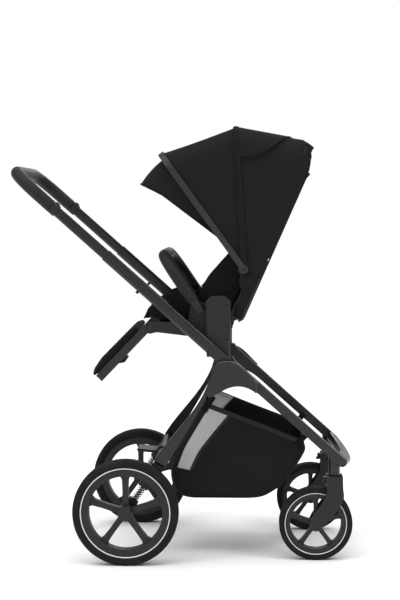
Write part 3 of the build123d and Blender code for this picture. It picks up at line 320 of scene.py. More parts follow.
rubber = foam_rubber()
rim_plastic = moulded("rim_plastic", (0.009, 0.009, 0.0098, 1), (0.014, 0.014, 0.0148, 1), 0.34)
stripe = Paint("pinstripe", Metallic=0.2)
stripe = stripe.set(
    Base_Color=stripe.mix(stripe.noise(40, 3.0), (0.62, 0.62, 0.63, 1), (0.78, 0.78, 0.79, 1)),
    Roughness=0.3 + 0.15 * stripe.noise(200, 2.0),
)


def ring(name, centre, radius, half_width, height, material, steps=128):
    """A thin flat-topped ring round an axle, standing out along Y by height."""
    sections = (
        (radius - half_width, 0.0), (radius - half_width * 0.7, height),
        (radius + half_width * 0.7, height), (radius + half_width, 0.0),
    )
    points, faces = [], []
    for i in range(steps):
        a = 2 * pi * i / steps
        points += [(centre[0] + r * cos(a), centre[1] + h, centre[2] + r * sin(a)) for r, h in sections]
    for i in range(steps):
        for k in range(3):
            a, b = 4 * i + k, 4 * ((i + 1) % steps) + k
            faces.append((a, b, b + 1, a + 1))
    return mesh_object(name, points, faces, material)


for end in ("rear", "front"):
    for side, out in (("right", -1), ("left", 1)):
        dress(rubber, f"{end}_tyre_{side}")
        dress(rim_plastic, f"{end}_rim_{side}")
        low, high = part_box(f"{end}_tyre_{side}")
        radius = (high.x - low.x) / 2
        centre = ((low.x + high.x) / 2, low.y if out < 0 else high.y, (low.z + high.z) / 2)
        line = ring(
            f"{end}_pinstripe_{side}", (centre[0], centre[1] - out * 0.0042, centre[2]),
            radius * 0.842, 0.0017, out * 0.0012,
            stripe,
        )
        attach(line, f"{end}_wheel_{side}")
dress(rim_plastic, "rear_hub_cap_right", "rear_hub_cap_left")


def plated(name):
    steel = Paint(name, Metallic=1.0)
    grain = steel.noise(300, 4.0, stretch=(1, 1, 12))
    return steel.set(
        Base_Color=steel.mix(grain, (0.5, 0.5, 0.51, 1), (0.68, 0.68, 0.69, 1)), Roughness=0.24 + 0.2 * grain,
    )


zinc = plated("zinc_plate")
dress(zinc, "fold_pins", "strut_spring_right", "strut_spring_left")

# ---------------------------------------------------------------- grip and bumper bar
# Round bars wrapped in soft grained imitation leather over foam.
# The pores are the dark lines between the cells of the grain.


def leatherette():
    hide = Paint("leatherette", Specular_IOR_Level=0.3)
    place = hide.place()
    cells = hide.node("ShaderNodeTexVoronoi", {"feature": "DISTANCE_TO_EDGE"}, {"Vector": place, "Scale": 420.0})
    pores = hide.ramp(cells, 0.0, 0.22)
    tone = hide.mix(hide.noise(30, 4.0), (0.008, 0.008, 0.008, 1), (0.013, 0.0128, 0.0125, 1))
    return hide.set(
        Base_Color=hide.mix(pores, (0.004, 0.004, 0.004, 1), tone),
        Roughness=0.5 + 0.16 * hide.noise(70, 4.0) - 0.08 * pores,
        Normal=hide.bump(pores, 0.00035, 0.7),
    )


hide = leatherette()
dress(hide, "handle_grip", "bumper_bar")

# ---------------------------------------------------------------- cloth
# Charcoal woven polyester with a heathered yarn for the shell, a finer and bluer one for the liners,
# and a coarser, darker weave for tapes and straps.


def weave(name, dark, light, pitch=0.0011, rough=0.86):
    cloth = Paint(name, Specular_IOR_Level=0.08, Sheen_Weight=0.02, Sheen_Roughness=0.5)
    place = cloth.place()
    axes = [cloth.node("ShaderNodeSeparateXYZ", inputs={0: place}, output=k) for k in range(3)]
    threads = [(axis * (pi / pitch)).sine().abs() for axis in axes]
    knots = (threads[0] + threads[1] + threads[2]) * 0.333
    yarn = cloth.noise(700, 2.0, stretch=(1, 1, 0.25))
    cloudy = cloth.noise(6, 3.0)
    tone = cloth.mix(0.55 * yarn + 0.45 * cloudy, dark, light)
    return cloth.set(
        Base_Color=cloth.mix(knots * 0.5, tone, dark), Roughness=rough + 0.08 * yarn,
        Normal=cloth.bump(knots + 0.4 * yarn, 0.00035, 0.6),
    )


shell_cloth = weave("shell_cloth", (0.0095, 0.0096, 0.0103, 1), (0.0165, 0.0167, 0.0177, 1))
liner_cloth = weave("liner_cloth", (0.0055, 0.0058, 0.0072, 1), (0.0105, 0.011, 0.0132, 1), 0.0008)
webbing = weave("webbing", (0.006, 0.006, 0.0065, 1), (0.011, 0.011, 0.0115, 1), 0.0016)
dress(shell_cloth, "canopy_rear_panel", "canopy_front_panel", "canopy_visor", "basket", "footrest_pad")
dress(liner_cloth, "seat_pad", "back_pad")
dress(webbing, "harness_straps", "basket_straps")

# ---------------------------------------------------------------- canopy
# A hood of woven cloth stretched over a middle and a front bow and sewn to the backrest. Rear and front panels
# are cut straight between the bows and draw in a little between them; a rounded flap covers the rear window.
joints = {joint["name"]: joint for joint in frame["record"]["behaviour"]["joints"]}


def pivot(joint):
    return Vector(joints[joint]["pos_m"])


def tilted(origin, angle):
    """Turns a place along, across and outward to the left, in metres, into a point of the row frame."""
    c, s = cos(radians(angle)), sin(radians(angle))
    return lambda along, across, y=0.0: Vector(
        (origin[0] + along * c - across * s, y, origin[2] + along * s + across * c)
    )


def grid(name, rows, material, closed=False, smooth=True):
    """Skins rows of points; closed joins the last point of each row to its first."""
    across = len(rows[0])
    points = [p for row in rows for p in row]
    faces = []
    for i in range(len(rows) - 1):
        for k in range(across if closed else across - 1):
            a, b = i * across + k, i * across + (k + 1) % across
            faces.append((a, b, b + across, a + across))
    return mesh_object(name, points, faces, material, smooth)


def worked(piece, *steps):
    """Applies modifiers, each a kind with its settings, and keeps only the mesh they make."""
    for kind, settings in steps:
        step = piece.modifiers.new(kind.lower(), kind)
        for name, value in settings.items():
            setattr(step, name, value)
    ready = piece.evaluated_get(bpy.context.evaluated_depsgraph_get())
    mesh = bpy.data.meshes.new_from_object(ready)
    piece.modifiers.clear()
    piece.data = mesh
    mesh.shade_smooth()
    return piece


def cloth_of(piece, thickness, offset=-1.0):
    return worked(piece, ("SOLIDIFY", {"thickness": thickness, "offset": offset}))


def tube(name, path, radius, material, closed=False, sides=10):
    """A round cord or wire sewn along a path of points."""
    path = [Vector(p) for p in path]
    rows, side = [], None
    for i, point in enumerate(path):
        ahead = path[(i + 1) % len(path)] if closed or i + 1 < len(path) else point
        behind = path[i - 1] if closed or i else point
        run = (ahead - behind).normalized()
        side = (side - run * side.dot(run)).normalized() if side else run.orthogonal().normalized()
        up = run.cross(side)
        rows.append([
            point + radius * (cos(2 * pi * k / sides) * side + sin(2 * pi * k / sides) * up) for k in range(sides)
        ])
    if closed:
        rows.append(rows[0])
    return grid(name, rows, material, closed=True)


hood = pivot("canopy_mid_fold")
BOW_RADIUS, BOW_HALF, BOW_CORNER = 0.380, 0.178, 0.062
REAR_EDGE, MID_BOW, FRONT_BOW = 65.5, 93.4, 125.6
HEM = -0.004


def arch(radius=BOW_RADIUS, half=BOW_HALF, corner=BOW_CORNER, low=HEM, count=96):
    """Points (y, height) evenly along an arch that stands on its two legs, from the right foot to the left."""
    fine = [(-half, low + (radius - corner - low) * k / 60) for k in range(60)]
    fine += [(corner - half - corner * cos(a), radius - corner + corner * sin(a)) for a in np.linspace(0, pi / 2, 40)]
    fine = np.array(fine + [(-y, h) for y, h in reversed(fine)])
    steps = np.r_[0, np.cumsum(np.hypot(*np.diff(fine, axis=0).T))]
    even = np.linspace(0, steps[-1], count)
    return np.c_[np.interp(even, steps, fine[:, 0]), np.interp(even, steps, fine[:, 1])]


def hood_point(centre, angle, y, height):
    a = radians(angle)
    return Vector((centre[0] + height * cos(a), y, centre[2] + height * sin(a)))


def hood_panel(name, first, last, dip, material, lift=0.0, rows=28, count=96, low=HEM, wrap=None):
    """Cloth between two bows: straight from one to the other, drawn in by dip halfway. wrap carries it on behind."""
    bow = arch(low=low, count=count)
    made = []
    for share in (0.0, 0.1, 0.25, 0.45, 0.65, 0.82, 0.93) if wrap else ():
        made.append([wrap(y, height).lerp(hood_point(hood, first, y, height), share) for y, height in bow])
    for i in range(rows + 1):
        u = i / rows
        row = []
        for k, (y, height) in enumerate(bow):
            p = hood_point(hood, first, y, height).lerp(hood_point(hood, last, y, height), u)
            out = Vector((p.x - hood.x, 0, p.z - hood.z)).normalized() * max(0.0, (height - 0.25) / 0.13)
            out += Vector((0, y / BOW_HALF, 0)) * (1 if abs(y) > 0.1 else 0.3)
            draw = dip * 4 * u * (1 - u) * (0.4 + 0.6 * min(1.0, height / 0.2)) * (1 if abs(y) > 0.15 else 0.25)
            ripple = 0.0006 * sin(9.0 * height / 0.1 + 3 * u) * sin(pi * u)
            row.append(p + out.normalized() * (lift - draw + ripple))
        made.append(row)
    return grid(name, made, material)


seat_joint = pivot("backrest_recline")
BACK_SLOPE, BEAM = 66.2, 0.1697
at_back = tilted(seat_joint, BACK_SLOPE)


def back_line(a):
    """How far behind the seat joint's line the back cover's rear face lies, at a place along the backrest."""
    return -0.0515 + 0.02 * max(0.0, (a - 0.43) / 0.08) ** 2


def rear_hem(y, height):
    """Where the canopy's rear edge is sewn to the back cover, for a place on the arch."""
    p = hood_point(hood, REAR_EDGE, y, height)
    reach = (p.x - seat_joint.x) * cos(radians(BACK_SLOPE)) + (p.z - seat_joint.z) * sin(radians(BACK_SLOPE))
    reach = min(reach, 0.5255)
    return at_back(reach, back_line(reach) + 0.003, y * (BEAM + 0.0014) / BOW_HALF)


FOLD_REACH, FOLD_HALF = 0.24, 0.042


def fold_between(first, last):
    """Two places halfway round from one bow to the other: FOLD_HALF either side of the point FOLD_REACH out from the
    hood's pivot.
    """
    middle = radians((first + last) / 2)
    heart = hood + FOLD_REACH * Vector((cos(middle), 0, sin(middle)))
    across = Vector((-sin(middle), 0, cos(middle)))
    return heart - FOLD_HALF * across, heart + FOLD_HALF * across


rear_canopy = hood_panel("rear_canopy", REAR_EDGE, MID_BOW, 0.006, shell_cloth, wrap=rear_hem)
front_canopy = hood_panel("front_canopy", MID_BOW, FRONT_BOW, 0.005, shell_cloth)
arch_length = 2 * (BOW_RADIUS - BOW_CORNER - HEM) + pi * BOW_CORNER + 2 * (BOW_HALF - BOW_CORNER)
for panel, first, last, nodes_hidden, bodies in (
    (rear_canopy, REAR_EDGE, MID_BOW, "canopy_rear_panel", ("backrest", "hood_mid")),
    (front_canopy, MID_BOW, FRONT_BOW, "canopy_front_panel", ("hood_mid", "hood_front")),
):
    cloth_of(panel, 0.0014)
    start, end = fold_between(first, last)
    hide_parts(nodes_hidden)
    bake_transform(panel)

# The window flap is a second layer sewn under the middle bow's sleeve, with a bound edge that casts a fine shadow.
flap_rows, bow = [], arch(radius=BOW_RADIUS + 0.0022, half=BOW_HALF + 0.0012, count=241)
flap_span = np.linspace(-0.5, 0.5, 241) * arch_length
FLAP_HALF, FLAP_REACH = 0.235, 0.86
for i in range(25):
    u = i / 24
    half = FLAP_HALF * (1 - u**2.4) ** (1 / 2.4) if u < 1 else 0.03
    half = max(half, 0.03)
    row = []
    for s in np.linspace(-half, half, 65):
        y, height = np.interp(s, flap_span, bow[:, 0]), np.interp(s, flap_span, bow[:, 1])
        share = 1 - u * FLAP_REACH
        p = hood_point(hood, REAR_EDGE, y, height).lerp(hood_point(hood, MID_BOW, y, height), share)
        row.append(p)
    flap_rows.append(row)
flap = cloth_of(grid("window_flap", flap_rows, shell_cloth), 0.0016, 1.0)
edge = [row[0] for row in flap_rows] + list(flap_rows[-1]) + [row[-1] for row in reversed(flap_rows)]
binding = tube("flap_binding", edge[::2], 0.0012, webbing)
for piece in (flap, binding):
    start, end = fold_between(REAR_EDGE, MID_BOW)
    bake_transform(piece)

# A stitched sleeve of the same cloth wraps the middle bow, with a seam groove down each edge and one down its middle; a
# near-black cord laid in each groove is painted shadow.
SLEEVE = (
    (-10.6, 0.2), (-10.0, 1.5), (-9.2, 1.7), (-8.6, 0.7), (-8.0, 2.0), (-5.0, 3.6), (-0.8, 4.1),
    (0, 3.2), (0.8, 4.1), (5.0, 3.6),
    (8.0, 2.0), (8.6, 0.7), (9.2, 1.7), (10.0, 1.5), (10.6, 0.2), (8.0, -0.4), (0, -0.4), (-8.0, -0.4),
)
mid_bow = arch(radius=BOW_RADIUS, half=BOW_HALF, low=-0.006, count=120)
turn = radians(MID_BOW)
along_bow, rows = Vector((-sin(turn), 0, cos(turn))), []


def bow_course(k):
    """At one place on the middle bow: the way out from it, and how much the sleeve narrows there."""
    y0, h0 = mid_bow[max(k - 1, 0)]
    y1, h1 = mid_bow[min(k + 1, 119)]
    run = Vector((y1 - y0, h1 - h0)).normalized()
    return Vector((-run.y, run.x)), 1.0 - 0.2 * min(1.0, max(0.0, mid_bow[k][1]) / BOW_RADIUS)


for k, (y, height) in enumerate(mid_bow):
    out, narrow = bow_course(k)
    rows.append([
        hood_point(hood, MID_BOW, y + out.x * r / 1000, height + out.y * r / 1000) + along_bow * w * narrow / 1000
        for w, r in SLEEVE
    ])
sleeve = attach(worked(grid("mid_bow_sleeve", rows, shell_cloth, closed=True), ("SUBSURF", {"levels": 1})), "hood_mid")
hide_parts("canopy_mid_bow")
# Painted shadow: a near-black cloth for the cords in the sleeve's seam grooves, standing in for the shade inside them.
groove_shadow_paint = Paint("seam_groove_painted_shadow", Specular_IOR_Level=0.05)
groove_shadow_paint = groove_shadow_paint.set(
    Base_Color=groove_shadow_paint.mix(groove_shadow_paint.noise(900, 2.0), (0.0012, 0.0012, 0.0013, 1), (0.003, 0.003, 0.0032, 1)),
    Roughness=0.8 + 0.1 * groove_shadow_paint.noise(400, 2.0),
)
# Each cord lies at the bottom of a seam groove as a painted shadow line.
for label, w, sink in (("front", -8.6, 0.9), ("middle", 0.0, 3.3), ("rear", 8.6, 0.9)):
    line = []
    for k, (y, height) in enumerate(mid_bow):
        out, narrow = bow_course(k)
        out = out * sink / 1000
        line.append(hood_point(hood, MID_BOW, y + out.x, height + out.y) + along_bow * w * narrow / 1000)
    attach(tube(f"sleeve_groove_shadow_{label}", line, 0.0006, groove_shadow_paint, sides=6), "hood_mid")

# The hem of the hood's sides is a folded tape from the back cover to the front bow's pivot.
for side, sign in (("right", -1), ("left", 1)):
    start, end = rear_hem(sign * BOW_HALF, HEM), hood_point(hood, REAR_EDGE, sign * (BOW_HALF + 0.0004), HEM)
    hem = tube(f"hood_hem_{side}", [start.lerp(end, share) for share in (0, 0.2, 0.4, 0.6, 0.8, 1)], 0.0013, webbing)
    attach(hem, "backrest")

# The visor is two layers of cloth over a springy wire: shell cloth outside, dark lining inside, corded along its edge.
brim = pivot("visor_flip")
VISOR_HALF = 0.1752
brim_foot = hood_point(brim, 124, 0.0, -0.030)
visor_rows = []
for i in range(21):
    u = i / 20
    row = []
    for y, height in arch(radius=0.238, half=VISOR_HALF, corner=0.056, low=0.004, count=90):
        share = height / 0.238
        tip = hood_point(brim, 124 + 24.5 * u - 3.2 * u * u * min(1.0, max(0.0, (0.236 - height) / 0.06)), y, 0.238)
        p = Vector((brim_foot.x, y, brim_foot.z)).lerp(tip, share)
        row.append(p + Vector((0, (-1 if y > 0 else 1) * 0.003 * sin(pi * u) * min(1.0, 3 * (1 - share)), 0)))
    visor_rows.append(row)
visor = grid("visor", visor_rows, shell_cloth)
cloth_of(visor, 0.0018)
LINING_GAP = 0.0026
lining_rows = [
    [p + Vector((LINING_GAP, -LINING_GAP * (1 if p.y > 0 else -1) * (abs(p.y) > 0.1), -0.0022)) for p in row]
    for row in visor_rows
]
lining = grid("visor_lining", lining_rows, liner_cloth)
cord = tube("visor_cord", visor_rows[-1], 0.0026, webbing)
for piece in (visor, lining, cord):
    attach(piece, "visor")
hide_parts("canopy_visor")
cloth_of(lining, 0.0008)

# ---------------------------------------------------------------- padded seat, back and footrest liners
# Foam and wadding inside a dark quilted liner. Each starts as the solid it fills, drawn in a little, is blown up
# as cloth under pressure, and then gets its sewn channels and corded edges.
foot_joint = pivot("footrest_angle")
FOOT_SLOPE = 226.4


def stuffed(name, node, pull_in, swell, voxel=0.005, frames=18):
    """A cloth copy of a solid: drawn in, remeshed, inflated by at most swell, and smoothed."""
    source = nodes[node]
    pad = mesh_object(name, [v.co for v in source.data.vertices], [tuple(f.vertices) for f in source.data.polygons])
    worked(pad, ("REMESH", {"mode": "VOXEL", "voxel_size": voxel}), ("SMOOTH", {"factor": 0.5, "iterations": 2}))
    outward = np.array([v.normal for v in pad.data.vertices])
    start = np.array([v.co for v in pad.data.vertices]) - outward * pull_in
    pad.data.vertices.foreach_set("co", start.ravel())
    blown = pad.modifiers.new("cloth", "CLOTH")
    blown.settings.quality = 5
    blown.settings.mass = 0.15
    blown.settings.tension_stiffness = blown.settings.compression_stiffness = 12
    blown.settings.bending_stiffness = 0.3
    blown.settings.use_pressure = True
    blown.settings.uniform_pressure_force = 4.0
    blown.settings.effector_weights.gravity = 0.0
    blown.collision_settings.use_collision = False
    blown.point_cache.frame_start, blown.point_cache.frame_end = 1, frames + 2
    for step in range(1, frames + 1):
        bpy.context.scene.frame_set(step)
    worked(pad)
    bpy.context.scene.frame_set(1)
    moved = np.array([v.co for v in pad.data.vertices]) - start
    rise = np.clip((moved * outward).sum(axis=1), 0.0, None)
    start += outward * (swell * np.tanh(rise / swell))[:, None]
    pad.data.vertices.foreach_set("co", start.ravel())
    pad.data.update()
    worked(pad, ("SMOOTH", {"factor": 0.5, "iterations": 2}), ("SUBSURF", {"levels": 1}))
    return pad


def sewn(pad, seams, depth=0.0045, width=0.006):
    """Draws the pad in along seams; each seam gives a point's distance from the sewing line, in metres."""
    places = np.array([v.co for v in pad.data.vertices])
    normals = np.array([v.normal for v in pad.data.vertices])
    for seam in seams:
        away = seam(places)
        places -= normals * (depth * np.exp(-((away / width) ** 2)))[:, None]
    pad.data.vertices.foreach_set("co", places.ravel())
    pad.data.update()
    return pad


def along_of(origin, angle):
    """How far places lie along, and across, a tilted line."""
    c, s = cos(radians(angle)), sin(radians(angle))

    def measure(places):
        x, z = places[:, 0] - origin[0], places[:, 2] - origin[2]
        return x * c + z * s, z * c - x * s

    return measure


back_measure, foot_measure = along_of(seat_joint, BACK_SLOPE), along_of(foot_joint, FOOT_SLOPE)


def only(condition, away):
    return np.where(condition, away, 1.0)


back_pad = stuffed("back_pad_liner", "back_pad", 0.0025, 0.007)
sewn(
    back_pad,
    [lambda p, a=a: only(np.abs(p[:, 1]) < 0.112, back_measure(p)[0] - a) for a in (0.15, 0.235, 0.32, 0.405)]
    + [lambda p: only(back_measure(p)[0] > 0.09, np.abs(p[:, 1]) - 0.112)],
)
seat_pad = stuffed("seat_pad_liner", "seat_pad", 0.0025, 0.007)
sewn(
    seat_pad,
    [
        lambda p, x=x: only((np.abs(p[:, 1]) < 0.11) & (p[:, 2] > seat_joint.z + 0.02), p[:, 0] - seat_joint.x - x)
        for x in (-0.055, -0.155)
    ]
    + [lambda p: only(p[:, 2] > seat_joint.z + 0.015, np.abs(p[:, 1]) - 0.112)],
)
foot_pad = stuffed("footrest_liner", "footrest_pad", 0.0015, 0.003, voxel=0.003)
sewn(
    foot_pad,
    [lambda p, a=a: only(foot_measure(p)[1] < -0.02, foot_measure(p)[0] - a) for a in (0.085, 0.14)]
    + [lambda p: only(foot_measure(p)[1] < -0.02, np.abs(p[:, 1]) - 0.105)],
    depth=0.003,
    width=0.004,
)
for pad, node, body, fill in (
    (back_pad, "back_pad", "backrest", 0.6), (seat_pad, "seat_pad", "seat", 0.6),
    (foot_pad, "footrest_pad", "footrest", 0.5),
):
    pad.data.materials.clear()
    pad.data.materials.append(liner_cloth if node != "footrest_pad" else shell_cloth)
    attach(pad, body)
    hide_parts(node)

# Corded piping runs round the free edge of each side wing of the backrest and of the seat.
at_seat = tilted(seat_joint, 0.0)
WING = (
    (0.028, 0.014), (0.011, 0.05), (0.009, 0.068), (0.022, 0.085), (0.042, 0.0905), (0.08, 0.0872),
    (0.157, 0.0612), (0.30, 0.0222), (0.452, 0.008), (0.474, -0.008),
)
APRON = ((-0.078, 0.084), (-0.112, 0.082), (-0.158, 0.066), (-0.191, 0.043), (-0.204, 0.03), (-0.2145, 0.003))


def smooth_path(points, count=60):
    """A smooth line through a few places."""
    points = np.array(points, float)
    steps = np.r_[0, np.cumsum(np.linalg.norm(np.diff(points, axis=0), axis=1))]
    even = np.linspace(0, steps[-1], count)
    dense = np.stack([np.interp(even, steps, points[:, k]) for k in range(points.shape[1])], axis=1)
    for _ in range(6):
        dense[1:-1] = (dense[:-2] + 2 * dense[1:-1] + dense[2:]) / 4
    return dense


def laid_on(pad, path, sink=0.0006):
    """Moves a path's points onto the nearest skin of a pad."""
    laid = []
    for point in path:
        _, place, normal, _ = pad.closest_point_on_mesh(point)
        laid.append(place - normal * sink)
    return [Vector(p) for p in smooth_path(laid, len(laid))]


for side, sign in (("right", -1), ("left", 1)):
    wing_line = laid_on(back_pad, [at_back(a, b, sign * 0.1455) for a, b in smooth_path(WING, 90)])
    apron_line = laid_on(seat_pad, [at_seat(a, b, sign * 0.1475) for a, b in smooth_path(APRON, 60)])
    wing_cord = tube(f"wing_piping_{side}", wing_line, 0.0022, webbing)
    apron_cord = tube(f"seat_piping_{side}", apron_line, 0.0022, webbing)
    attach(wing_cord, "backrest")
    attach(apron_cord, "seat")

# ---------------------------------------------------------------- back cover
# Shell cloth pulled tight over the two side beams and the board, with a corded edge and a snap at each side.
# A gusset on each side fills the corner between the cover and the canopy.


def cover_row(a):
    """One girth of the cover at a place along the backrest, from the front of the right beam round to the left."""
    top, back, soft = max(0.0, (a - 0.44) / 0.071), back_line(a), 0.008
    pocket = sin(pi * min(1.0, max(0.0, (a - 0.095) / 0.085))) ** 0.5
    front = -0.0145 if a > 0.07 else -0.0145 - 0.012 * ((0.07 - a) / 0.05) ** 2
    front += 0.02 * pocket - 0.004 * top**2
    out = BEAM + 0.0044 * pocket
    side = [(front - 0.003, -(out - 0.004)), (front, -(out - 0.001)), (front - 0.004, -out)]
    side += [(b, -out) for b in np.linspace(front - 0.008, -0.034, 5)]
    side += [
        (b, -BEAM - 0.0044 * pocket * (b - back - soft) / (-0.034 - back - soft))
        for b in np.linspace(-0.036, back + soft, 4)
    ]
    side += [(back + soft * (1 - sin(t)), -BEAM + soft * (1 - cos(t))) for t in np.linspace(0.2, pi / 2, 6)]
    width = np.linspace(-(BEAM - soft - 0.01), BEAM - soft - 0.01, 33)
    middle = [(back + 0.004 * (1 - (y / BEAM) ** 4) + 0.0008 * sin(40 * a + 22 * y), y) for y in width]
    return [at_back(a, b, y) for b, y in [*side, *middle, *[(b, -y) for b, y in reversed(side)]]]


cover_rows = [cover_row(a) for a in np.r_[np.linspace(0.022, 0.43, 40), np.linspace(0.436, 0.518, 20)]]
crown = cover_rows[-1]
for share in (0.35, 0.7, 1.0):
    cover_rows.append([p.lerp(at_back(0.522, -0.018, p.y * 0.98), share) for p in crown])
cover = cloth_of(grid("back_cover", cover_rows, shell_cloth), 0.0012)
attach(cover, "backrest")
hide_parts("back_panel")
for side, sign in (("right", -1), ("left", 1)):
    edge = [at_back(a, back_line(a) + 0.0008, sign * (BEAM - 0.0012)) for a in np.linspace(0.03, 0.52, 60)]
    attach(tube(f"back_piping_{side}", edge, 0.0016, webbing), "backrest")
GUSSET_REAR, GUSSET = -0.013, ((0.026, 0.012), (0.05, 0.03), (0.09, 0.036), (0.125, 0.028), (0.155, 0.012))
for side, sign in (("right", -1), ("left", 1)):
    rows = [[at_back(a, GUSSET_REAR + (b - GUSSET_REAR) * k / 6, sign * 0.1484) for k in range(7)] for a, b in GUSSET]
    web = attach(cloth_of(grid(f"back_gusset_{side}", rows, liner_cloth), 0.0006, 0.0), "backrest")
snap_metal = plated("snap_metal")
for side, sign in (("right", -1), ("left", 1)):
    heart = at_back(0.198, -0.044, sign * (BEAM + 0.0002))
    cap = ring(f"back_snap_{side}", heart, 0.0024, 0.0024, sign * 0.0016, snap_metal, steps=28)
    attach(cap, "backrest")

# ---------------------------------------------------------------- harness
# Webbing that runs from two padded shoulder sleeves on the backrest down to the buckle on the seat.
# The lower straps run across the recline joint.


def band_along(name, path, width_way, width, thickness, material, crown=0.0):
    """Flat webbing along a path of points; width_way points across it, and crown raises its middle."""
    path, wide = [Vector(p) for p in path], Vector(width_way).normalized()
    rows = []
    for i, point in enumerate(path):
        run = (path[min(i + 1, len(path) - 1)] - path[max(i - 1, 0)]).normalized()
        up = run.cross(wide).normalized()
        row = []
        for k in range(9):
            s = k / 4 - 1
            row.append(point + wide * s * width / 2 + up * (thickness / 2 + crown * (1 - s * s)) * (1 - s**8))
        for k in range(8, -1, -1):
            s = k / 4 - 1
            row.append(point + wide * s * width / 2 - up * (thickness / 2) * (1 - s**8))
        rows.append(row)
    made = grid(name, rows, material, closed=True)
    ends = bmesh.new()
    ends.from_mesh(made.data)
    bmesh.ops.holes_fill(ends, edges=ends.edges)
    bmesh.ops.recalc_face_normals(ends, faces=ends.faces)
    ends.to_mesh(made.data)
    ends.free()
    return made


harness = []
for side, sign in (("right", -1), ("left", 1)):
    path = [
        at_back(a, -0.0035 + 0.004 * sin(pi * (a - 0.2) / 0.16), sign * (0.045 - 0.03 * (0.36 - a)))
        for a in np.linspace(0.36, 0.2, 24)
    ]
    pad = band_along(f"shoulder_pad_{side}", path, (0, 1, 0), 0.044, 0.006, liner_cloth, crown=0.003)
    worked(pad, ("SUBSURF", {"levels": 1}))
    upper = band_along(
        f"shoulder_strap_{side}", [at_back(a, -0.006, sign * 0.046) for a in (0.40, 0.385, 0.37, 0.355)],
        (0, 1, 0), 0.025, 0.0014, webbing,
    )
    harness += [pad, upper]
    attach(pad, "backrest")
    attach(upper, "backrest")
    buckle_low, buckle_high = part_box("harness_buckle")
    heart = (buckle_low + buckle_high) / 2
    ends = [
        at_back(0.21, 0.0, sign * 0.044), at_back(0.15, 0.03, sign * 0.038), at_back(0.09, 0.075, sign * 0.028),
        Vector((buckle_high.x - 0.004, sign * 0.016, heart.z + 0.003)),
    ]
    path = [Vector(p) for p in smooth_path(ends, 40)]
    lower = band_along(f"waist_strap_{side}", path, (0, 1, 0), 0.022, 0.0014, webbing)
    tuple(at_back(0.20, 0.0))
    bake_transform(lower)
    harness.append(lower)
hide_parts("harness_straps")

# ---------------------------------------------------------------- shopping basket
# A soft bag of shell cloth lofted round a sprung rim: tulle windows at the rear of each side, a grey bound rim,
# and black webbing hooks that hang it from the side frames.
BAG_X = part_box("basket")[0].x - 0.1115
BAG_HALF, BAG_ROUND = 0.1715, 0.024
REAR_LINE = [
    (0.246, 0.156), (0.19, 0.156), (0.160, 0.1565), (0.137, 0.164), (0.122, 0.183), (0.1145, 0.21),
    (0.1142, 0.24), (0.136, 0.300), (0.171, 0.359), (0.206, 0.418),
]
FRONT_LINE = [
    (0.246, 0.156), (0.30, 0.156), (0.333, 0.156), (0.366, 0.1605), (0.40, 0.181), (0.424, 0.2005),
    (0.440, 0.222), (0.461, 0.257), (0.481, 0.292), (0.470, 0.316),
]
rear_line, front_line = smooth_path(REAR_LINE, 64), smooth_path(FRONT_LINE, 64)
bag_outline = np.r_[rear_line[::-1], front_line[1:]]


def from_outline(x, z):
    """How far a place on the side lies from the bag's outline."""
    a, b = bag_outline[:-1], bag_outline[1:]
    run = b - a
    t = np.clip(((x - a[:, 0]) * run[:, 0] + (z - a[:, 1]) * run[:, 1]) / (run**2).sum(axis=1), 0, 1)
    return float(np.hypot(x - a[:, 0] - t * run[:, 0], z - a[:, 1] - t * run[:, 1]).min())


def bag_side(x, z, share):
    """How far out the side stands at a place: rounded into the bottom and ends, slack at the rim, full below."""
    edge = min(from_outline(x, z), BAG_ROUND) / BAG_ROUND
    y = BAG_HALF - BAG_ROUND + BAG_ROUND * sqrt_of(1 - (1 - edge) ** 2)
    slack = 0.006 * share**3 * sin(pi * min(1.0, max(0.0, (x - 0.206) / 0.264))) ** 2
    fold = 0.0012 * sin(60 * x - 30 * z) * sin(pi * share) * edge
    return y - slack + fold


def sqrt_of(value):
    return max(0.0, value) ** 0.5


tulle = Paint("tulle", Roughness=0.8, Specular_IOR_Level=0.1)
tulle_place = [tulle.node("ShaderNodeSeparateXYZ", inputs={0: tulle.place()}, output=k) for k in (0, 2)]
diagonals = [(tulle_place[0] + tulle_place[1]) * (pi / 0.0034), (tulle_place[0] - tulle_place[1]) * (pi / 0.0034)]
mesh_lines = tulle.node(
    "ShaderNodeMath", {"operation": "MINIMUM"}, {0: diagonals[0].sine().abs(), 1: diagonals[1].sine().abs()}
)
threads = 1 - tulle.ramp(mesh_lines, 0.2, 0.42)
tulle.set(
    Base_Color=tulle.mix(tulle.noise(300, 2.0), (0.40, 0.405, 0.40, 1), (0.56, 0.565, 0.56, 1)),
    Alpha=0.62 + 0.38 * threads,
    Normal=tulle.bump(threads, 0.0003, 0.5), Roughness=0.7 + 0.15 * tulle.noise(500, 2.0),
)
tulle = tulle.material
binding_tape = weave("binding_tape", (0.02, 0.02, 0.021, 1), (0.032, 0.032, 0.0335, 1), 0.0014)


def joined(name, pieces):
    """Makes one object of several meshes."""
    made = pieces[0]
    with bpy.context.temp_override(active_object=made, selected_editable_objects=pieces):
        bpy.ops.object.join()
    made.name = made.data.name = name
    return made


steps = np.r_[0.0, 0.004, 0.01, 0.02, 0.035, 0.055, np.linspace(0.085, 1.0, 34)]
WINDOW_ROW, WINDOW_INSET = 17, 0.017


def bag_row(v):
    """One straight row across the side, from the rear line to the front line, with the shares its columns stand at."""
    k = 12 + v * 51
    i, f = min(int(k), 62), k - min(int(k), 62)
    rear = rear_line[i] * (1 - f) + rear_line[i + 1] * f
    front = front_line[i] * (1 - f) + front_line[i + 1] * f
    width = hypot(*(front - rear))
    inner = min(0.2, WINDOW_INSET / width)
    outer = min(0.6, (0.050 + 0.029 * v**2) / width)
    columns = [inner * q for q in (0, 0.15, 0.35, 0.55, 0.78)]
    columns += list(np.linspace(inner, outer, 9))
    columns += list(np.linspace(outer, 0.86, 25)[1:]) + [0.895, 0.925, 0.95, 0.972, 0.988, 1.0]
    return rear, front, columns


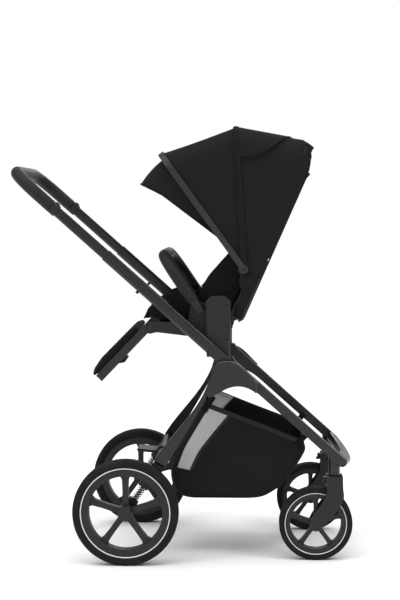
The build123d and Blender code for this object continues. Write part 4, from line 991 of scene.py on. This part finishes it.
WINDOW_COLUMNS = range(5, 13)
walls = []
for sign in (-1, 1):
    points, faces, sheer = [], [], []
    for v in steps:
        rear, front, shares = bag_row(v)
        for s in shares:
            x, z = rear * (1 - s) + front * s
            points.append((BAG_X + x, sign * bag_side(x, z, v), z))
    across = len(shares)
    for i in range(len(steps) - 1):
        for k in range(across - 1):
            a = i * across + k
            faces.append((a, a + 1, a + across + 1, a + across))
            sheer.append(k in WINDOW_COLUMNS and i >= WINDOW_ROW)
    wall = mesh_object(f"bag_side_{'right' if sign < 0 else 'left'}", points, faces, shell_cloth)
    wall.data.materials.append(tulle)
    for polygon, is_sheer in zip(wall.data.polygons, sheer):
        polygon.material_index = int(is_sheer)
    walls.append(wall)
belly = []
for x, z in bag_outline:
    half = BAG_HALF - BAG_ROUND
    belly.append([Vector((BAG_X + x, y, z)) for y in np.linspace(-half, half, 25)])
walls.append(grid("bag_belly", belly, shell_cloth))
bag = joined("shopping_bag", walls)
weld = bmesh.new()
weld.from_mesh(bag.data)
bmesh.ops.remove_doubles(weld, verts=weld.verts, dist=0.0006)
bmesh.ops.recalc_face_normals(weld, faces=weld.faces)
weld.to_mesh(bag.data)
weld.free()
cloth_of(bag, 0.0016)
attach(bag, "chassis")
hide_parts("basket", "basket_straps")

# A board stiffens the bag's floor, and folds up with the bag.
BOARD_CORNER, BOARD_STEPS = 0.018, 72
board_low, board_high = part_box("basket_board")
board_mid, board_half = (board_low + board_high) / 2, (board_high - board_low) / 2
board_rings = []
for z, inset in (
    (board_low.z, 0.0009), (board_low.z + 0.0007, 0.0), (board_high.z - 0.0007, 0.0), (board_high.z, 0.0009)
):
    ring = []
    for i in range(BOARD_STEPS):
        turn = 2 * pi * i / BOARD_STEPS
        corner = Vector((cos(turn), sin(turn)))
        reach = Vector((board_half.x - BOARD_CORNER, board_half.y - BOARD_CORNER))
        ring.append(Vector((
            board_mid.x + (reach.x if corner.x > 0 else -reach.x) + (BOARD_CORNER - inset) * corner.x,
            board_mid.y + (reach.y if corner.y > 0 else -reach.y) + (BOARD_CORNER - inset) * corner.y, z)))
    board_rings.append(ring)
board_faces = []
for low in range(0, 3 * BOARD_STEPS, BOARD_STEPS):
    for i in range(BOARD_STEPS):
        j = (i + 1) % BOARD_STEPS
        board_faces.append((low + i, low + j, low + BOARD_STEPS + j, low + BOARD_STEPS + i))
board_faces += [tuple(range(BOARD_STEPS - 1, -1, -1)), tuple(range(3 * BOARD_STEPS, 4 * BOARD_STEPS))]
board = mesh_object("bag_base_board", [p for ring in board_rings for p in ring], board_faces, liner_cloth)
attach(board, "chassis")
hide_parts("basket_board")

bag_trim = []
for side, sign in (("right", -1), ("left", 1)):
    rim = [(0.206 + 0.264 * s, 0.418 - 0.102 * s) for s in np.linspace(0, 1, 40)]
    path = [Vector((BAG_X + x, sign * (bag_side(x, z, 1.0) + 0.0012), z - 0.004)) for x, z in rim]
    bag_trim.append(band_along(f"rim_binding_{side}", path, (0.36, 0, 0.93), 0.013, 0.0022, binding_tape, crown=0.0006))
    edge = []
    for v in np.r_[steps[WINDOW_ROW:-1], 0.99]:
        rear, front, shares = bag_row(v)
        s = shares[WINDOW_COLUMNS.stop]
        x, z = rear * (1 - s) + front * s
        edge.append(Vector((BAG_X + x, sign * (bag_side(x, z, v) + 0.0008), z)))
    bag_trim.append(band_along(f"window_binding_{side}", edge, (0.86, 0, -0.5), 0.008, 0.0014, binding_tape))
    for label, (x, z, lean) in (("rear", (0.212, 0.408, 58.0)), ("front", (0.462, 0.316, 48.0))):
        up = Vector((cos(radians(lean)), 0, sin(radians(lean))))
        foot = Vector((BAG_X + x, sign * 0.1735, z))
        path = [
            foot - up * 0.016, foot, foot + up * 0.014, foot + up * 0.026 + Vector((0, sign * 0.003, 0)),
            foot + up * 0.034 + Vector((0, sign * 0.0055, 0)),
        ]
        bag_trim.append(band_along(
            f"hanger_{label}_{side}", [Vector(p) for p in smooth_path(path, 24)], (-up.z, 0, up.x),
            0.017, 0.0014, webbing,
        ))
for piece in bag_trim:
    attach(piece, "chassis")
for piece in [bag, board, *bag_trim]:
    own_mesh(piece)
